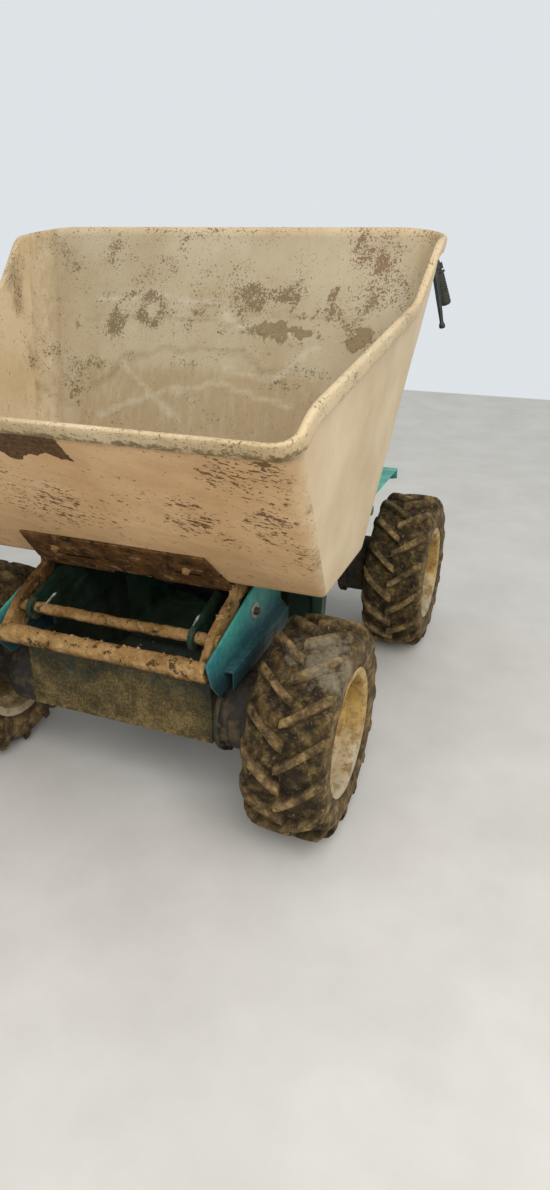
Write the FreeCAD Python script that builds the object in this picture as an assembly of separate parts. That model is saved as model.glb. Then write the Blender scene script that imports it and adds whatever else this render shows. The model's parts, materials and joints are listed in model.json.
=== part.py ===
import FreeCAD, Part
import math
import os

# Compact four-wheel-drive walk-behind site dumper with a moulded skip that tips over its front end.
# Millimetres, +Z up, the front faces -Y and the vehicle's left is +X.
# Inside this file Y is measured from the front axle. The finished pieces are moved together, so
# that the origin lies on the ground in the middle of the overall length.
# Wheels, bars and tubes are drawn with flat facets; pins, hinges and their holes are true rounds.

os.makedirs("parts", exist_ok=True)

# Whole machine
wheelbase = 1130
track = 1040
running_gap = 5            # between pieces that move past each other
corner_flats = 5           # flats that round a moulded corner
bend_step = 20             # degrees between the flats of a bent tube
seat_gap = 0.3             # between a curved face and the seat it turns or rests in

# Wheels: 23 x 8.50-12 lug tyres
tyre_radius = 292
tyre_width = 216
tread_half = 80            # where the tread turns down into the shoulder
wheel_sides = 14           # flats round a tyre or a rim
lug_height = 24
lugs_per_side = 16
lug_base_width = 36
lug_top_width = 22
lug_sweep = 17             # degrees from a lug's inner end to its shoulder end
lug_overlap = 8            # how far a lug's inner end passes the middle of the tread
lug_start = 10             # degrees from the lowest point to the first lug
rim_radius = 174

bead_radius = 153
rim_width = 202
rim_gauge = 5
well_depth = 20
disc_offset = 18           # wheel disc, outboard of the rim's middle
disc_dish = 22             # how far the disc's middle is set in
dish_radius = 92
hub_cap_radius = 44
hub_cap_length = 20

# Wheel motors on the frame's sides
motor_sides = 12
motor_radius = 108
motor_flange = 12
motor_neck_radius = 82
motor_gap = 20             # from a motor's case to the tyre's inner side
hub_seat_radius = 50

# Frame
plate = 8
frame_to_tyre = 132        # room beside the frame for the side plates and motors
frame_bottom = 248
frame_front = -123
frame_rear = 1400
frame_top_front = 436
frame_top = 505
frame_step = 110
frame_step_length = 60
front_ledge = 80           # top flange behind the front plate
member_height = 60
cross_member_y = (330, 690)

# Tipping pivot and frame
tip_angle = 75
pivot_y = -118
pivot_z = 558
pivot_shaft_radius = 15
shaft_overhang = 6
rail_inset = 48            # from the frame's outside to the rail's inner face
rail_gauge = 14
rail_ear_radius = 33
rail_heel_z = 470
rail_crest_y = 20
rail_rear = 330
rail_leg_width = 60
arm_gauge = 20
arm_depth = 60
arm_tail_depth = 40
arm_front_y = -184
arm_front_z = 505
arm_nose = 4
arm_rear_y = 430
front_tube_radius = 25
tube_sides = 12
bracket_hole_clearance = 0.3

# Side plates beside the arms: one lies outside each arm and the pivot's end
side_plate_gap = 12
side_plate_bottom = 420
side_plate_rear = 280
side_plate_heel = 330
side_plate_step_z = 506
side_plate_slope = 0.284   # rise of the top edge towards the rear
side_plate_nose_y = -215
side_plate_nose_z = 543
flange_z = 484
flange_reach = 25
flange_skirt = 54

# Skip: walls 9 mm thick
skip_floor_z = 660
skip_floor_front = -2
skip_floor_rear = 385
skip_floor_half = 540
skip_wall = 9
skip_front_y = -446        # outside of the front wall at its rim
skip_front_z = 1153
skip_side_z = 1330         # where the side rim starts to climb
skip_back_y = 650
skip_back_z = 1492
skip_top_half = 656
skip_front_corner_floor = 16
skip_front_corner_rim = 50
skip_rear_corner = 70
skip_floor_round = 22
lip_reach = 9
lip_depth = 39

# Plate that ties the skip's front wall to the arms
mount_plate_gauge = 7
mount_plate_length = 176
mount_plate_foot = 26      # how far its foot reaches past the skip's bottom edge
mount_plate_side = 2
mount_plate_shoulder = 40
mount_plate_taper = 16
foot_recess_half = 62
foot_recess_depth = 14
cradle_depth = 24
cradle_half_width = 25

# Rest posts under the skip's rear
post_standoff = 120        # from the frame's side to the post's middle
post_y = 400
post_half_length = 22
post_top_half = 26
post_foot_half = 13
post_foot_z = 385
pad_height = 14
pad_rim = 4
cradle_end = 30            # how far the cradle passes the post's middle

# Rear deck and bonnet
deck_z = 652
deck_gauge = 5
deck_half = 436
deck_front = 720
deck_rear = 1258
deck_skirt = 40
gusset_depth = 60
bonnet_inset = 18          # from the frame's outside to the bonnet's side
bonnet_front_margin = 50
bonnet_rear_margin = 57
bonnet_height = 160        # above the deck
bonnet_gauge = 4
bonnet_corner = 30
bonnet_bevel = 14
bonnet_seat = 20           # width of deck that the bonnet's edge stands on
hinge_radius = 9
hinge_inset = 112          # from the bonnet's side to its nearest knuckle
knuckle_length = 60
deck_knuckle_length = 30
knuckle_gap = 1
hinge_leaf = 4
latch_half = 22
latch_gauge = 8
latch_low = 60
latch_pull_z = 130
latch_pull_half = 16
latch_pull_radius = 6

# Handlebar
bar_sides = 12
upright_inset = 75
upright_bend_height = 180
upright_bend_radius = 160
bar_radius = 17
cross_bar_radius = 14
bar_y = 1165
bar_z = 1418
bar_half = 520
bar_bend_radius = 45
bar_drop = 10              # the uprights meet the crossbar this far below its middle
grip_radius = 19
grip_length = 150
grip_start = 66
grip_end = 6
grip_tip_radius = 11
grip_drop = 78             # degrees below the bar, at its end
lever_clamp_at = 46
lever_clamp_gauge = 8
lever_clamp_width = 18
lever_arm = 34
lever_arm_radius = 7
lever_length = 200
lever_root_radius = 9
lever_tip_radius = 6
lever_bead_radius = 10
lever_bead_length = 18
lever_sides = 8
console_z = 1150
console_depth = 90
console_height = 190
control_x = 110
control_rise = 30
control_sink = 6
button_radius = 20
button_length = 32
key_radius = 11
key_length = 22

# Battery pack, closed inside the frame
battery_side_gap = 37
battery_front_gap = 35
battery_rear_gap = 12
battery_height = 300

# Bumper bar and its tow clevis
bumper_radius = 24
bumper_overhang = 20
bumper_z = 400
bumper_standoff = 32
stay_inset = 90
stay_half_width = 8
stay_half_height = 30
clevis_gauge = 12
clevis_half = 32
clevis_clearance = 1       # between a clevis ear and the bumper bar
clevis_nose = 32
clevis_hole_offset = 46
clevis_hole_radius = 10.5

# Tipping ram
ram_base_y = 560
ram_base_z = 318
ram_eye_y = 158
ram_eye_drop = 60          # from the skip's floor down to the rod's eye
ram_sides = 12
ram_barrel_radius = 30
ram_barrel_start = 20
ram_barrel_short = 55      # from the barrel's mouth to the rod's eye
ram_tail_radius = 24
ram_neck_radius = 16
ram_rod_radius = 16
ram_rod_start = 50
ram_bore_start = 46
ram_head_radius = 24
ram_head_half = 18
ram_pin_radius = 12
ram_lug_gauge = 12
ram_lug_gap = 2
ram_lug_foot_half = 40
ram_lug_half = 24
eye_lug_gap = 6

V = FreeCAD.Vector
pieces = {}

# Sizes that follow from those above
tyre_inner = track / 2 - tyre_width / 2
frame_half_width = tyre_inner - frame_to_tyre
rail_x = frame_half_width - rail_inset
arm_x = frame_half_width
arm_outer = arm_x + arm_gauge
side_plate_x = arm_outer + side_plate_gap
post_x = frame_half_width + post_standoff
cradle_z = skip_floor_z - seat_gap
cradle_under = cradle_z - cradle_depth
battery_base = frame_bottom + plate
bonnet_half = frame_half_width - bonnet_inset
bonnet_front = deck_front + bonnet_front_margin
bonnet_rear = deck_rear - bonnet_rear_margin
bonnet_top = deck_z + bonnet_height
upright_x = frame_half_width - upright_inset
bumper_half = frame_half_width + bumper_overhang
ram_eye_z = skip_floor_z - ram_eye_drop


def polygon(points):
    return Part.Face(Part.makePolygon(points + [points[0]]))


def plate_x(points, x0, x1):
    """Outline of (y, z) points, extruded along X from x0 to x1."""
    return polygon([V(x0, y, z) for y, z in points]).extrude(V(x1 - x0, 0, 0))


def plate_y(points, y0, y1):
    return polygon([V(x, y0, z) for x, z in points]).extrude(V(0, y1 - y0, 0))


def block(x0, x1, y0, y1, z0, z1):
    return Part.makeBox(x1 - x0, y1 - y0, z1 - z0, V(x0, y0, z0))


def rod(start, end, radius):
    start = V(*start)
    along = V(*end) - start
    return Part.makeCylinder(radius, along.Length, start, along)


def ring(middle, along, radius, sides):
    """Corner points of a regular polygon square to a direction."""
    along = V(along).normalize()
    first = V(1, 0, 0) if abs(along.x) < 0.01 else V(0, 1, 0)
    first = (first - along * first.dot(along)).normalize()
    second = along.cross(first)
    corners = []
    for n in range(sides):
        turn = 2 * math.pi * n / sides
        corners.append(middle + first * (radius * math.cos(turn)) + second * (radius * math.sin(turn)))
    return corners


def bar(start, end, radius, sides, end_radius=None):
    """Straight bar with flat sides, tapered where an end radius is given."""
    along = end - start
    return flat_loft([ring(start, along, radius, sides), ring(end, along, end_radius or radius, sides)])


def closed(faces):
    """Solid from the flat faces that enclose it."""
    solid = Part.Solid(Part.Shell(faces))
    if solid.Volume < 0:
        solid.reverse()
    return solid


def faceted(profile, sides):
    """Solid of flat facets round the X axis, from a closed profile of (x, radius) points."""
    rings = []
    for x, radius in profile:
        turns = [2 * math.pi * n / sides for n in range(sides)]
        rings.append([V(x, -radius * math.cos(t), radius * math.sin(t)) for t in turns])
    faces = []
    for (ring_a, (xa, ra)), (ring_b, (xb, rb)) in zip(
            zip(rings, profile), zip(rings[1:] + rings[:1], profile[1:] + profile[:1])):
        for n in range(sides):
            corners = [ring_a[n - 1]]
            if ra > 0:
                corners.append(ring_a[n])
            corners.append(ring_b[n])
            if rb > 0:
                corners.append(ring_b[n - 1])
            if len(corners) > 2:
                faces.append(polygon(corners))
    return closed(faces).removeSplitter()


def flat_loft(rings):
    """Solid through rings of corner points whose matching sides are parallel."""
    faces = [polygon(rings[0]), polygon(rings[-1])]
    for near, far in zip(rings, rings[1:]):
        for n in range(len(near)):
            faces.append(polygon([near[n - 1], near[n], far[n], far[n - 1]]))
    return closed(faces)


def twisted_loft(rings):
    """Solid through rings of corner points, with every side cut into two flat triangles."""
    faces = [polygon(rings[0]), polygon(rings[-1])]
    for near, far in zip(rings, rings[1:]):
        for n in range(len(near)):
            faces.append(polygon([near[n - 1], near[n], far[n]]))
            faces.append(polygon([near[n - 1], far[n], far[n - 1]]))
    return closed(faces)


def plan_ring(z, half, front, back, front_radius, rear_radius):
    """Level rectangle from -half to half in X, each corner rounded by a few flats."""
    corners = [(1, front + front_radius, front_radius), (1, back - rear_radius, rear_radius),
               (-1, back - rear_radius, rear_radius), (-1, front + front_radius, front_radius)]
    points = []
    for quarter, (side, y, radius) in enumerate(corners):
        for n in range(corner_flats + 1):
            turn = math.radians(90 * (quarter - 1 + n / corner_flats))
            points.append(V(side * (half - radius) + radius * math.cos(turn),
                            y + radius * math.sin(turn), z))
    return points


def fuse(shapes):
    whole = shapes[0].multiFuse(shapes[1:])
    return whole.removeSplitter()


def mirrored(shape):
    return shape.mirror(V(0, 0, 0), V(1, 0, 0))


def pair(shape):
    return Part.makeCompound([shape, mirrored(shape)])


def rounded_path(points, bends):
    """Edges of straight runs, with a bend of the given radius at each inner point."""
    edges = []
    start = points[0]
    for before, corner, after, bend in zip(points, points[1:], points[2:], bends):
        back = (before - corner).normalize()
        ahead = (after - corner).normalize()
        half = back.getAngle(ahead) / 2
        reach = bend / math.tan(half)
        enter = corner + back * reach
        leave = corner + ahead * reach
        middle = (back + ahead).normalize()
        apex = corner + middle * (bend / math.sin(half) - bend)
        edges.append(Part.LineSegment(start, enter).toShape())
        edges.append(Part.Arc(enter, apex, leave).toShape())
        start = leave
    edges.append(Part.LineSegment(start, points[-1]).toShape())
    return edges


def bent_tube(points, bends, radius):
    """Flat-sided tube with a bend of the given radius at each inner point."""
    points = [V(*p) for p in points]
    rings = [ring(points[0], points[1] - points[0], radius, bar_sides)]
    for before, corner, after, bend in zip(points, points[1:], points[2:], bends):
        back = (before - corner).normalize()
        ahead = (after - corner).normalize()
        half = back.getAngle(ahead) / 2
        centre = corner + (back + ahead).normalize() * (bend / math.sin(half))
        enter = corner + back * (bend / math.tan(half))
        out = (enter - centre).normalize()
        steps = math.ceil(math.degrees(math.pi - 2 * half) / bend_step)
        for n in range(steps + 1):
            turn = (math.pi - 2 * half) * n / steps
            at = centre + out * (bend * math.cos(turn)) - back * (bend * math.sin(turn))
            along = -(out * math.sin(turn)) - back * math.cos(turn)
            rings.append(ring(at, along, radius, bar_sides))
    rings.append(ring(points[-1], points[-1] - points[-2], radius, bar_sides))
    return flat_loft(rings)


def save(name, shape):
    pieces[name] = shape.copy()


# Wheels

def tyre():
    half = tyre_width / 2
    bead_half = rim_width / 2 - rim_gauge - 1
    crown = tyre_radius - lug_height
    half_profile = [
        (bead_half, bead_radius + seat_gap), (bead_half, rim_radius + 4),
        (half - 2, rim_radius + 44), (tread_half, crown - 6)]
    profile = [(-x, r) for x, r in half_profile] + half_profile[::-1]
    pitch = 360 / lugs_per_side
    lugs = []
    for side, lag in ((1, 0), (-1, pitch / 2)):
        for n in range(lugs_per_side):
            lugs.append(lug(side, lug_start + n * pitch + lag))
    return fuse([faceted(profile, wheel_sides)] + lugs)


def lug(side, angle):
    half = tyre_width / 2
    crown = tyre_radius - lug_height
    # columns: distance from the middle, root radius, tip radius, share of the sweep, width factor
    stations = [
        (-lug_overlap, crown - 16, tyre_radius, 0.0, 0.85),
        (tread_half, crown - 20, tyre_radius - 3, 0.8, 1.0),
        (half, crown - 50, crown - 8, 1.1, 1.1)]
    rings = []
    for reach, root, tip, share, wide in stations:
        middle = math.radians(angle + lug_sweep * share)
        root_turn = lug_base_width * wide / 2 / tyre_radius
        tip_turn = lug_top_width * wide / 2 / tyre_radius
        corners = [(root, middle - root_turn), (root, middle + root_turn),
                   (tip, middle + tip_turn), (tip, middle - tip_turn)]
        rings.append([V(side * reach, -r * math.cos(a), r * math.sin(a)) for r, a in corners])
    return twisted_loft(rings)


def rim():
    """Rim and wheel disc, outboard side towards +X."""
    half = rim_width / 2
    inner = bead_radius - rim_gauge
    well = inner - well_depth
    back = disc_offset - disc_dish
    face = back + rim_gauge + 1
    barrel = [
        (-half, rim_radius), (-half + rim_gauge, rim_radius), (-half + rim_gauge, bead_radius),
        (half - rim_gauge, bead_radius), (half - rim_gauge, rim_radius), (half, rim_radius),
        (half, inner), (half - 50, inner), (half - 66, well), (-half + 60, well),
        (-half + 44, inner), (-half, inner)]
    disc = [
        (back, 0), (back, dish_radius), (disc_offset, well + rim_gauge),
        (disc_offset + rim_gauge, well + rim_gauge), (face, dish_radius + 2), (face, 0)]
    cap = bar(V(face - 1, 0, 0), V(face + hub_cap_length, 0, 0), hub_cap_radius, wheel_sides)
    return fuse([faceted(barrel, wheel_sides), faceted(disc, wheel_sides), cap])


def wheel_motor():
    """Gear case that carries a wheel, from the frame's side out to the wheel disc."""
    hub_end = track / 2 + disc_offset - disc_dish - frame_half_width - seat_gap
    neck_end = hub_end - 12
    length = frame_to_tyre - motor_gap
    profile = [
        (0, 0), (0, motor_radius + motor_flange), (14, motor_radius + motor_flange),
        (14, motor_radius), (length - 16, motor_radius), (length, motor_radius - 14),
        (length, motor_neck_radius), (neck_end, motor_neck_radius - 8),
        (neck_end, hub_seat_radius), (hub_end, hub_seat_radius), (hub_end, 0)]
    return faceted(profile, motor_sides)


one_tyre = tyre()
one_rim = rim()
one_motor = wheel_motor()
corners = [("front_left", 1, 0), ("front_right", -1, 0),
           ("rear_left", 1, wheelbase), ("rear_right", -1, wheelbase)]
for place, side, y in corners:
    for name, solid in (("tyre", one_tyre), ("rim", one_rim), ("wheel_motor", one_motor)):
        piece = solid.copy()
        if side < 0 and name != "tyre":
            piece = mirrored(piece)
        x = frame_half_width if name == "wheel_motor" else track / 2
        piece.translate(V(side * x, y, tyre_radius))
        save(name + "_" + place, piece)


# Main frame: folded tray with two cross members

def main_frame():
    inner = frame_half_width - plate
    step_end = frame_step + frame_step_length
    side_outline = [
        (frame_front, frame_bottom), (frame_rear, frame_bottom), (frame_rear, frame_top),
        (step_end, frame_top), (frame_step, frame_top_front), (frame_front, frame_top_front)]
    side = plate_x(side_outline, inner, frame_half_width)
    walls = [
        block(-inner, inner, frame_front, frame_rear, frame_bottom, frame_bottom + plate),
        block(-inner, inner, frame_front, frame_front + plate, frame_bottom, frame_top_front),
        block(-inner, inner, frame_front, frame_front + front_ledge,
              frame_top_front - plate, frame_top_front),
        block(-inner, inner, frame_rear - plate, frame_rear, frame_bottom, frame_top)]
    for y in cross_member_y:
        walls.append(block(-inner, inner, y, y + plate, frame_bottom, frame_bottom + member_height))
    return fuse([side, mirrored(side)] + walls)


save("main_frame", main_frame())


def side_plate():
    top = skip_floor_z - 2 * running_gap
    top_y = side_plate_nose_y + (top - side_plate_nose_z) / side_plate_slope
    outline = [
        (side_plate_nose_y + 25, flange_z - 14), (frame_front - 27, side_plate_bottom),
        (side_plate_heel, side_plate_bottom), (side_plate_heel, flange_z - 20),
        (side_plate_rear, side_plate_step_z), (side_plate_rear, top), (top_y, top),
        (side_plate_nose_y, side_plate_nose_z)]
    sheet = plate_x(outline, side_plate_x, side_plate_x + plate)
    web = block(frame_half_width, side_plate_x, frame_front + 30, side_plate_heel,
                side_plate_bottom, side_plate_bottom + plate)
    outer = side_plate_x + plate + flange_reach
    flange = block(side_plate_x + plate, outer, frame_front, side_plate_rear,
                   flange_z - plate, flange_z)
    skirt = block(outer - plate / 2, outer, frame_front, side_plate_rear,
                  flange_z - flange_skirt, flange_z - plate)
    return fuse([sheet, web, flange, skirt])


save("side_plates", pair(side_plate()))


def tipped(y, z):
    """Where a point of the skip's frame stands when the skip is fully tipped."""
    turn = math.radians(tip_angle)
    dy = y - pivot_y
    dz = z - pivot_z
    return (pivot_y + dy * math.cos(turn) - dz * math.sin(turn),
            pivot_z + dy * math.sin(turn) + dz * math.cos(turn))


def pivot_rail():
    """Rail with a round ear that carries the tipping pivot, cut back where the front tube swings."""
    heel_y = tipped(arm_front_y, arm_front_z)[0] + front_tube_radius + 2 * running_gap
    crest_z = cradle_under - 2 * running_gap
    low = pivot_z - rail_ear_radius
    outline = [(pivot_y, low), (heel_y, low), (heel_y, rail_heel_z), (rail_rear, rail_heel_z),
               (rail_rear, crest_z), (rail_crest_y, crest_z), (pivot_y, pivot_z + rail_ear_radius)]
    outer = rail_x + rail_gauge
    web = plate_x(outline, rail_x, outer)
    ear = rod((rail_x, pivot_y, pivot_z), (outer, pivot_y, pivot_z), rail_ear_radius)
    leg = block(rail_x, frame_half_width - plate, rail_rear - rail_leg_width, rail_rear,
                frame_bottom + plate, rail_heel_z)
    hole = rod((rail_x - 1, pivot_y, pivot_z), (outer + 1, pivot_y, pivot_z), pivot_shaft_radius)
    return fuse([web, ear, leg]).cut(hole)


save("pivot_rails", pair(pivot_rail()))
shaft_half = arm_outer + shaft_overhang
save("pivot_shaft", rod((-shaft_half, pivot_y, pivot_z), (shaft_half, pivot_y, pivot_z),
                        pivot_shaft_radius))


# Skip: one moulded tub

# columns: y, height, bend radius where the side view of the rim turns
rim_table = [
    (skip_front_y - 250, skip_front_z, 0),
    (skip_front_y - 2, skip_front_z, 40),
    (skip_front_y + 74, skip_front_z + 52, 150),
    (skip_back_y - 226, skip_side_z, 100),
    (skip_back_y - 108, skip_back_z - 8, 90),
    (skip_back_y + 250, skip_back_z + 17, 0)]
skip_reach = skip_top_half + 200
skip_high = skip_back_z + 160


def rim_slab(depth):
    """Slab across the whole width, from the rim line down by the given depth."""
    bends = [bend for y, z, bend in rim_table[1:-1]]
    edges = []
    for drop in (0, depth):
        edges += rounded_path([V(-skip_reach, y, z - drop) for y, z, bend in rim_table], bends)
    for y, z, bend in (rim_table[0], rim_table[-1]):
        edges.append(Part.LineSegment(V(-skip_reach, y, z), V(-skip_reach, y, z - depth)).toShape())
    outline = Part.Wire(Part.__sortEdges__(edges))
    return Part.Face(outline).extrude(V(2 * skip_reach, 0, 0))


def skip_ring(height, inset):
    """Outline of the tub in plan at one height, with rounded corners, pushed inwards by inset."""
    front_lean = (skip_front_y - skip_floor_front) / (skip_front_z - skip_floor_z)
    back_lean = (skip_back_y - skip_floor_rear) / (skip_back_z - skip_floor_z)
    flare = (skip_top_half - skip_floor_half) / (skip_back_z - skip_floor_z)
    corner_growth = (skip_front_corner_rim - skip_front_corner_floor) / (skip_front_z - skip_floor_z)
    rise = height - skip_floor_z
    front = skip_floor_front + front_lean * rise + inset * math.hypot(1, front_lean)
    back = skip_floor_rear + back_lean * rise - inset * math.hypot(1, back_lean)
    half = skip_floor_half + flare * rise - inset * math.hypot(1, flare)
    front_radius = max(skip_front_corner_floor + corner_growth * rise - inset, skip_wall / 2)
    rear_radius = max(skip_rear_corner - inset, skip_wall / 2)
    return plan_ring(height, half, front, back, front_radius, rear_radius)


def skip_form(inset):
    """Solid of the tub pushed inwards by inset, closed at the floor and above the rim."""
    floor = skip_floor_z + inset
    turn = max(skip_floor_round - inset, skip_wall / 2)
    # columns: share of the floor's round in height, share of it set in
    rings = [skip_ring(floor + rise * turn, inset + back * turn)
             for rise, back in ((0, 1), (0.29, 0.29), (1, 0))]
    return flat_loft(rings + [skip_ring(skip_high, inset)])


def skip_tub():
    outer = skip_form(0).common(rim_slab(skip_back_z))
    lip = skip_form(-lip_reach).common(rim_slab(lip_depth))
    return outer.fuse(lip).cut(skip_form(skip_wall)).removeSplitter()


save("skip_tub", skip_tub())


# Tipping frame under the skip

def mount_plate():
    """Sloped plate bolted under the skip's front wall, its foot let into the arms."""
    lean = math.atan2(skip_front_z - skip_floor_z, skip_floor_front - skip_front_y)
    along = V(0, -math.cos(lean), math.sin(lean))
    out = V(0, -math.sin(lean), -math.cos(lean))
    foot = V(0, skip_floor_front, skip_floor_z) - along * mount_plate_foot + out * seat_gap
    half = arm_x + mount_plate_side
    # columns: distance from the middle, distance up from the foot
    half_outline = [
        (foot_recess_half, foot_recess_depth), (foot_recess_half, 0), (half + 8, 0),
        (half + 8, mount_plate_shoulder), (half - mount_plate_taper, mount_plate_length)]
    outline = half_outline + [(-x, s) for x, s in half_outline[::-1]]
    return polygon([foot + V(x, 0, 0) + along * s for x, s in outline]).extrude(out * mount_plate_gauge)


front_plate = mount_plate()
save("skip_mount_plate", front_plate)
front_tube = bar(V(-arm_outer, arm_front_y, arm_front_z), V(arm_outer, arm_front_y, arm_front_z),
                 front_tube_radius, tube_sides)
save("tip_front_tube", front_tube)


def tip_arm():
    half = arm_depth / 2
    nose = arm_front_y - arm_nose
    outline = [
        (nose, arm_front_z - half), (arm_front_y + 54, arm_front_z - half + 6),
        (skip_floor_front + 42, cradle_z - arm_depth + 6),
        (arm_rear_y, cradle_z - arm_tail_depth), (arm_rear_y, cradle_z),
        (skip_floor_front + 4, cradle_z), (skip_floor_front + 4, cradle_z - mount_plate_foot),
        (pivot_y, pivot_z + half), (nose, arm_front_z + half - 4)]
    arm = plate_x(outline, arm_x, arm_outer)
    hole = rod((arm_x - 1, pivot_y, pivot_z), (arm_outer + 1, pivot_y, pivot_z),
               pivot_shaft_radius + bracket_hole_clearance)
    return arm.cut(hole).cut(front_tube).cut(front_plate)


save("tip_arms", pair(tip_arm()))


def cradle():
    """Cross members between the arms under the skip's floor."""
    parts = []
    for y in (ram_eye_y, post_y):
        parts.append(block(-arm_x, arm_x, y - cradle_half_width, y + cradle_half_width,
                           cradle_under, cradle_z))
    end = block(arm_outer, post_x + cradle_end, post_y - cradle_half_width,
                post_y + cradle_half_width, cradle_under, cradle_z)
    return Part.makeCompound(parts + [end, mirrored(end)])


save("skip_cradle", cradle())


def rest_post():
    """Tapered post on a web that stands out from the frame's side."""
    top = cradle_under - pad_height
    outline = [(post_x - post_foot_half, post_foot_z), (post_x + post_foot_half, post_foot_z),
               (post_x + post_top_half, top), (post_x - post_top_half, top)]
    post = plate_y(outline, post_y - post_half_length, post_y + post_half_length)
    web = block(frame_half_width, post_x, post_y - plate / 2, post_y + plate / 2, post_foot_z, frame_top)
    return post.fuse(web).removeSplitter()


save("rest_posts", pair(rest_post()))
pad = block(post_x - post_top_half + pad_rim, post_x + post_top_half - pad_rim,
            post_y - post_half_length, post_y + post_half_length,
            cradle_under - pad_height, cradle_under - seat_gap)
save("rest_pads", pair(pad))


# Rear deck, bonnet and battery

def rear_deck():
    under = deck_z - deck_gauge
    top = block(-deck_half, deck_half, deck_front, deck_rear, under, deck_z)
    opening = block(-bonnet_half + bonnet_seat, bonnet_half - bonnet_seat,
                    bonnet_front + bonnet_seat, bonnet_rear - bonnet_seat, under - 1, deck_z + 1)
    skirt = block(-deck_half, deck_half, deck_front, deck_front + deck_gauge,
                  deck_z - deck_skirt, deck_z)
    inner = frame_half_width - deck_gauge
    walls = [
        block(-frame_half_width, -inner, deck_front, deck_rear, frame_top, under),
        block(inner, frame_half_width, deck_front, deck_rear, frame_top, under),
        block(-inner, inner, deck_front, deck_front + deck_gauge, frame_top, under),
        block(-inner, inner, deck_rear - deck_gauge, deck_rear, frame_top, under)]
    for side in (1, -1):
        outline = [(side * frame_half_width, under), (side * deck_half, under),
                   (side * deck_half, deck_z - deck_skirt),
                   (side * frame_half_width, under - gusset_depth)]
        walls.append(plate_y(outline, deck_rear - deck_gauge, deck_rear))
    return fuse([top.cut(opening), skirt] + walls)


save("rear_deck", rear_deck())


def bonnet():
    # columns: height, how far the outline is set in
    levels = [(deck_z + seat_gap, 0), (bonnet_top - bonnet_bevel, 0), (bonnet_top, bonnet_bevel)]
    outer = flat_loft([
        plan_ring(z, bonnet_half - inset, bonnet_front + inset, bonnet_rear - inset,
                  bonnet_corner - inset, bonnet_corner - inset) for z, inset in levels])
    g = 2 * bonnet_gauge
    hollow = block(-bonnet_half + g, bonnet_half - g, bonnet_front + g, bonnet_rear - g,
                   deck_z, bonnet_top - g)
    return outer.cut(hollow)


save("bonnet", bonnet())
hinge_y = bonnet_front - hinge_radius - 2
hinge_z = deck_z + hinge_radius + seat_gap
knuckle_outer = bonnet_half - hinge_inset
knuckles = []
deck_knuckles = []
for start in (-knuckle_outer, knuckle_outer - knuckle_length):
    end = start + knuckle_length
    knuckle = bar(V(start, hinge_y, hinge_z), V(end, hinge_y, hinge_z), hinge_radius, bar_sides)
    leaf = block(start, end, hinge_y, bonnet_front, hinge_z - hinge_leaf / 2, hinge_z + hinge_leaf / 2)
    knuckles.append(fuse([knuckle, leaf]))
    for x in (start - knuckle_gap - deck_knuckle_length, end + knuckle_gap):
        knuckle = bar(V(x, hinge_y, hinge_z), V(x + deck_knuckle_length, hinge_y, hinge_z),
                      hinge_radius, bar_sides)
        foot = block(x, x + deck_knuckle_length, hinge_y - hinge_radius, hinge_y + hinge_radius,
                     deck_z, hinge_z)
        deck_knuckles.append(fuse([knuckle, foot]))
save("bonnet_knuckles", Part.makeCompound(knuckles))
save("deck_knuckles", Part.makeCompound(deck_knuckles))
latch_y = bonnet_rear + latch_gauge
latch = block(-latch_half, latch_half, bonnet_rear, latch_y, deck_z + latch_low, bonnet_top - bonnet_bevel)
pull = bar(V(-latch_pull_half, latch_y, deck_z + latch_pull_z),
           V(latch_pull_half, latch_y, deck_z + latch_pull_z), latch_pull_radius, lever_sides)
save("bonnet_latch", fuse([latch, pull]))

battery_half = frame_half_width - plate - battery_side_gap
save("battery_pack", block(-battery_half, battery_half, deck_front + deck_gauge + battery_front_gap,
                           deck_rear - deck_gauge - battery_rear_gap,
                           battery_base, battery_base + battery_height))

# Handlebar, console and controls

upright_y = frame_rear - plate - bar_radius - seat_gap
upright_bend_z = deck_z + upright_bend_height
upright_top_z = bar_z - bar_drop


def upright():
    return bent_tube([(upright_x, upright_y, battery_base), (upright_x, upright_y, upright_bend_z),
                      (upright_x, bar_y, upright_top_z)], [upright_bend_radius], bar_radius)


def handlebar():
    droop = math.radians(grip_drop)
    arm = grip_start + grip_length - grip_end
    end_x = bar_half + math.cos(droop) * arm
    end_z = bar_z - math.sin(droop) * arm
    path = [(-end_x, bar_y, end_z), (-bar_half, bar_y, bar_z), (bar_half, bar_y, bar_z),
            (end_x, bar_y, end_z)]
    return bent_tube(path, [bar_bend_radius, bar_bend_radius], cross_bar_radius)


cross_bar = handlebar()
save("handlebar", cross_bar)
save("handlebar_uprights", pair(upright().cut(cross_bar)))

grip_along = V(math.cos(math.radians(grip_drop)), 0, -math.sin(math.radians(grip_drop)))
bar_corner = V(bar_half, bar_y, bar_z)


def grip():
    start = bar_corner + grip_along * grip_start
    end = start + grip_along * grip_length
    sleeve = bar(start, end, grip_radius, bar_sides)
    tip = bar(end, end + grip_along * grip_end, grip_radius, bar_sides, grip_tip_radius)
    return fuse([sleeve, tip]).cut(cross_bar)


save("grips", pair(grip()))


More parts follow.
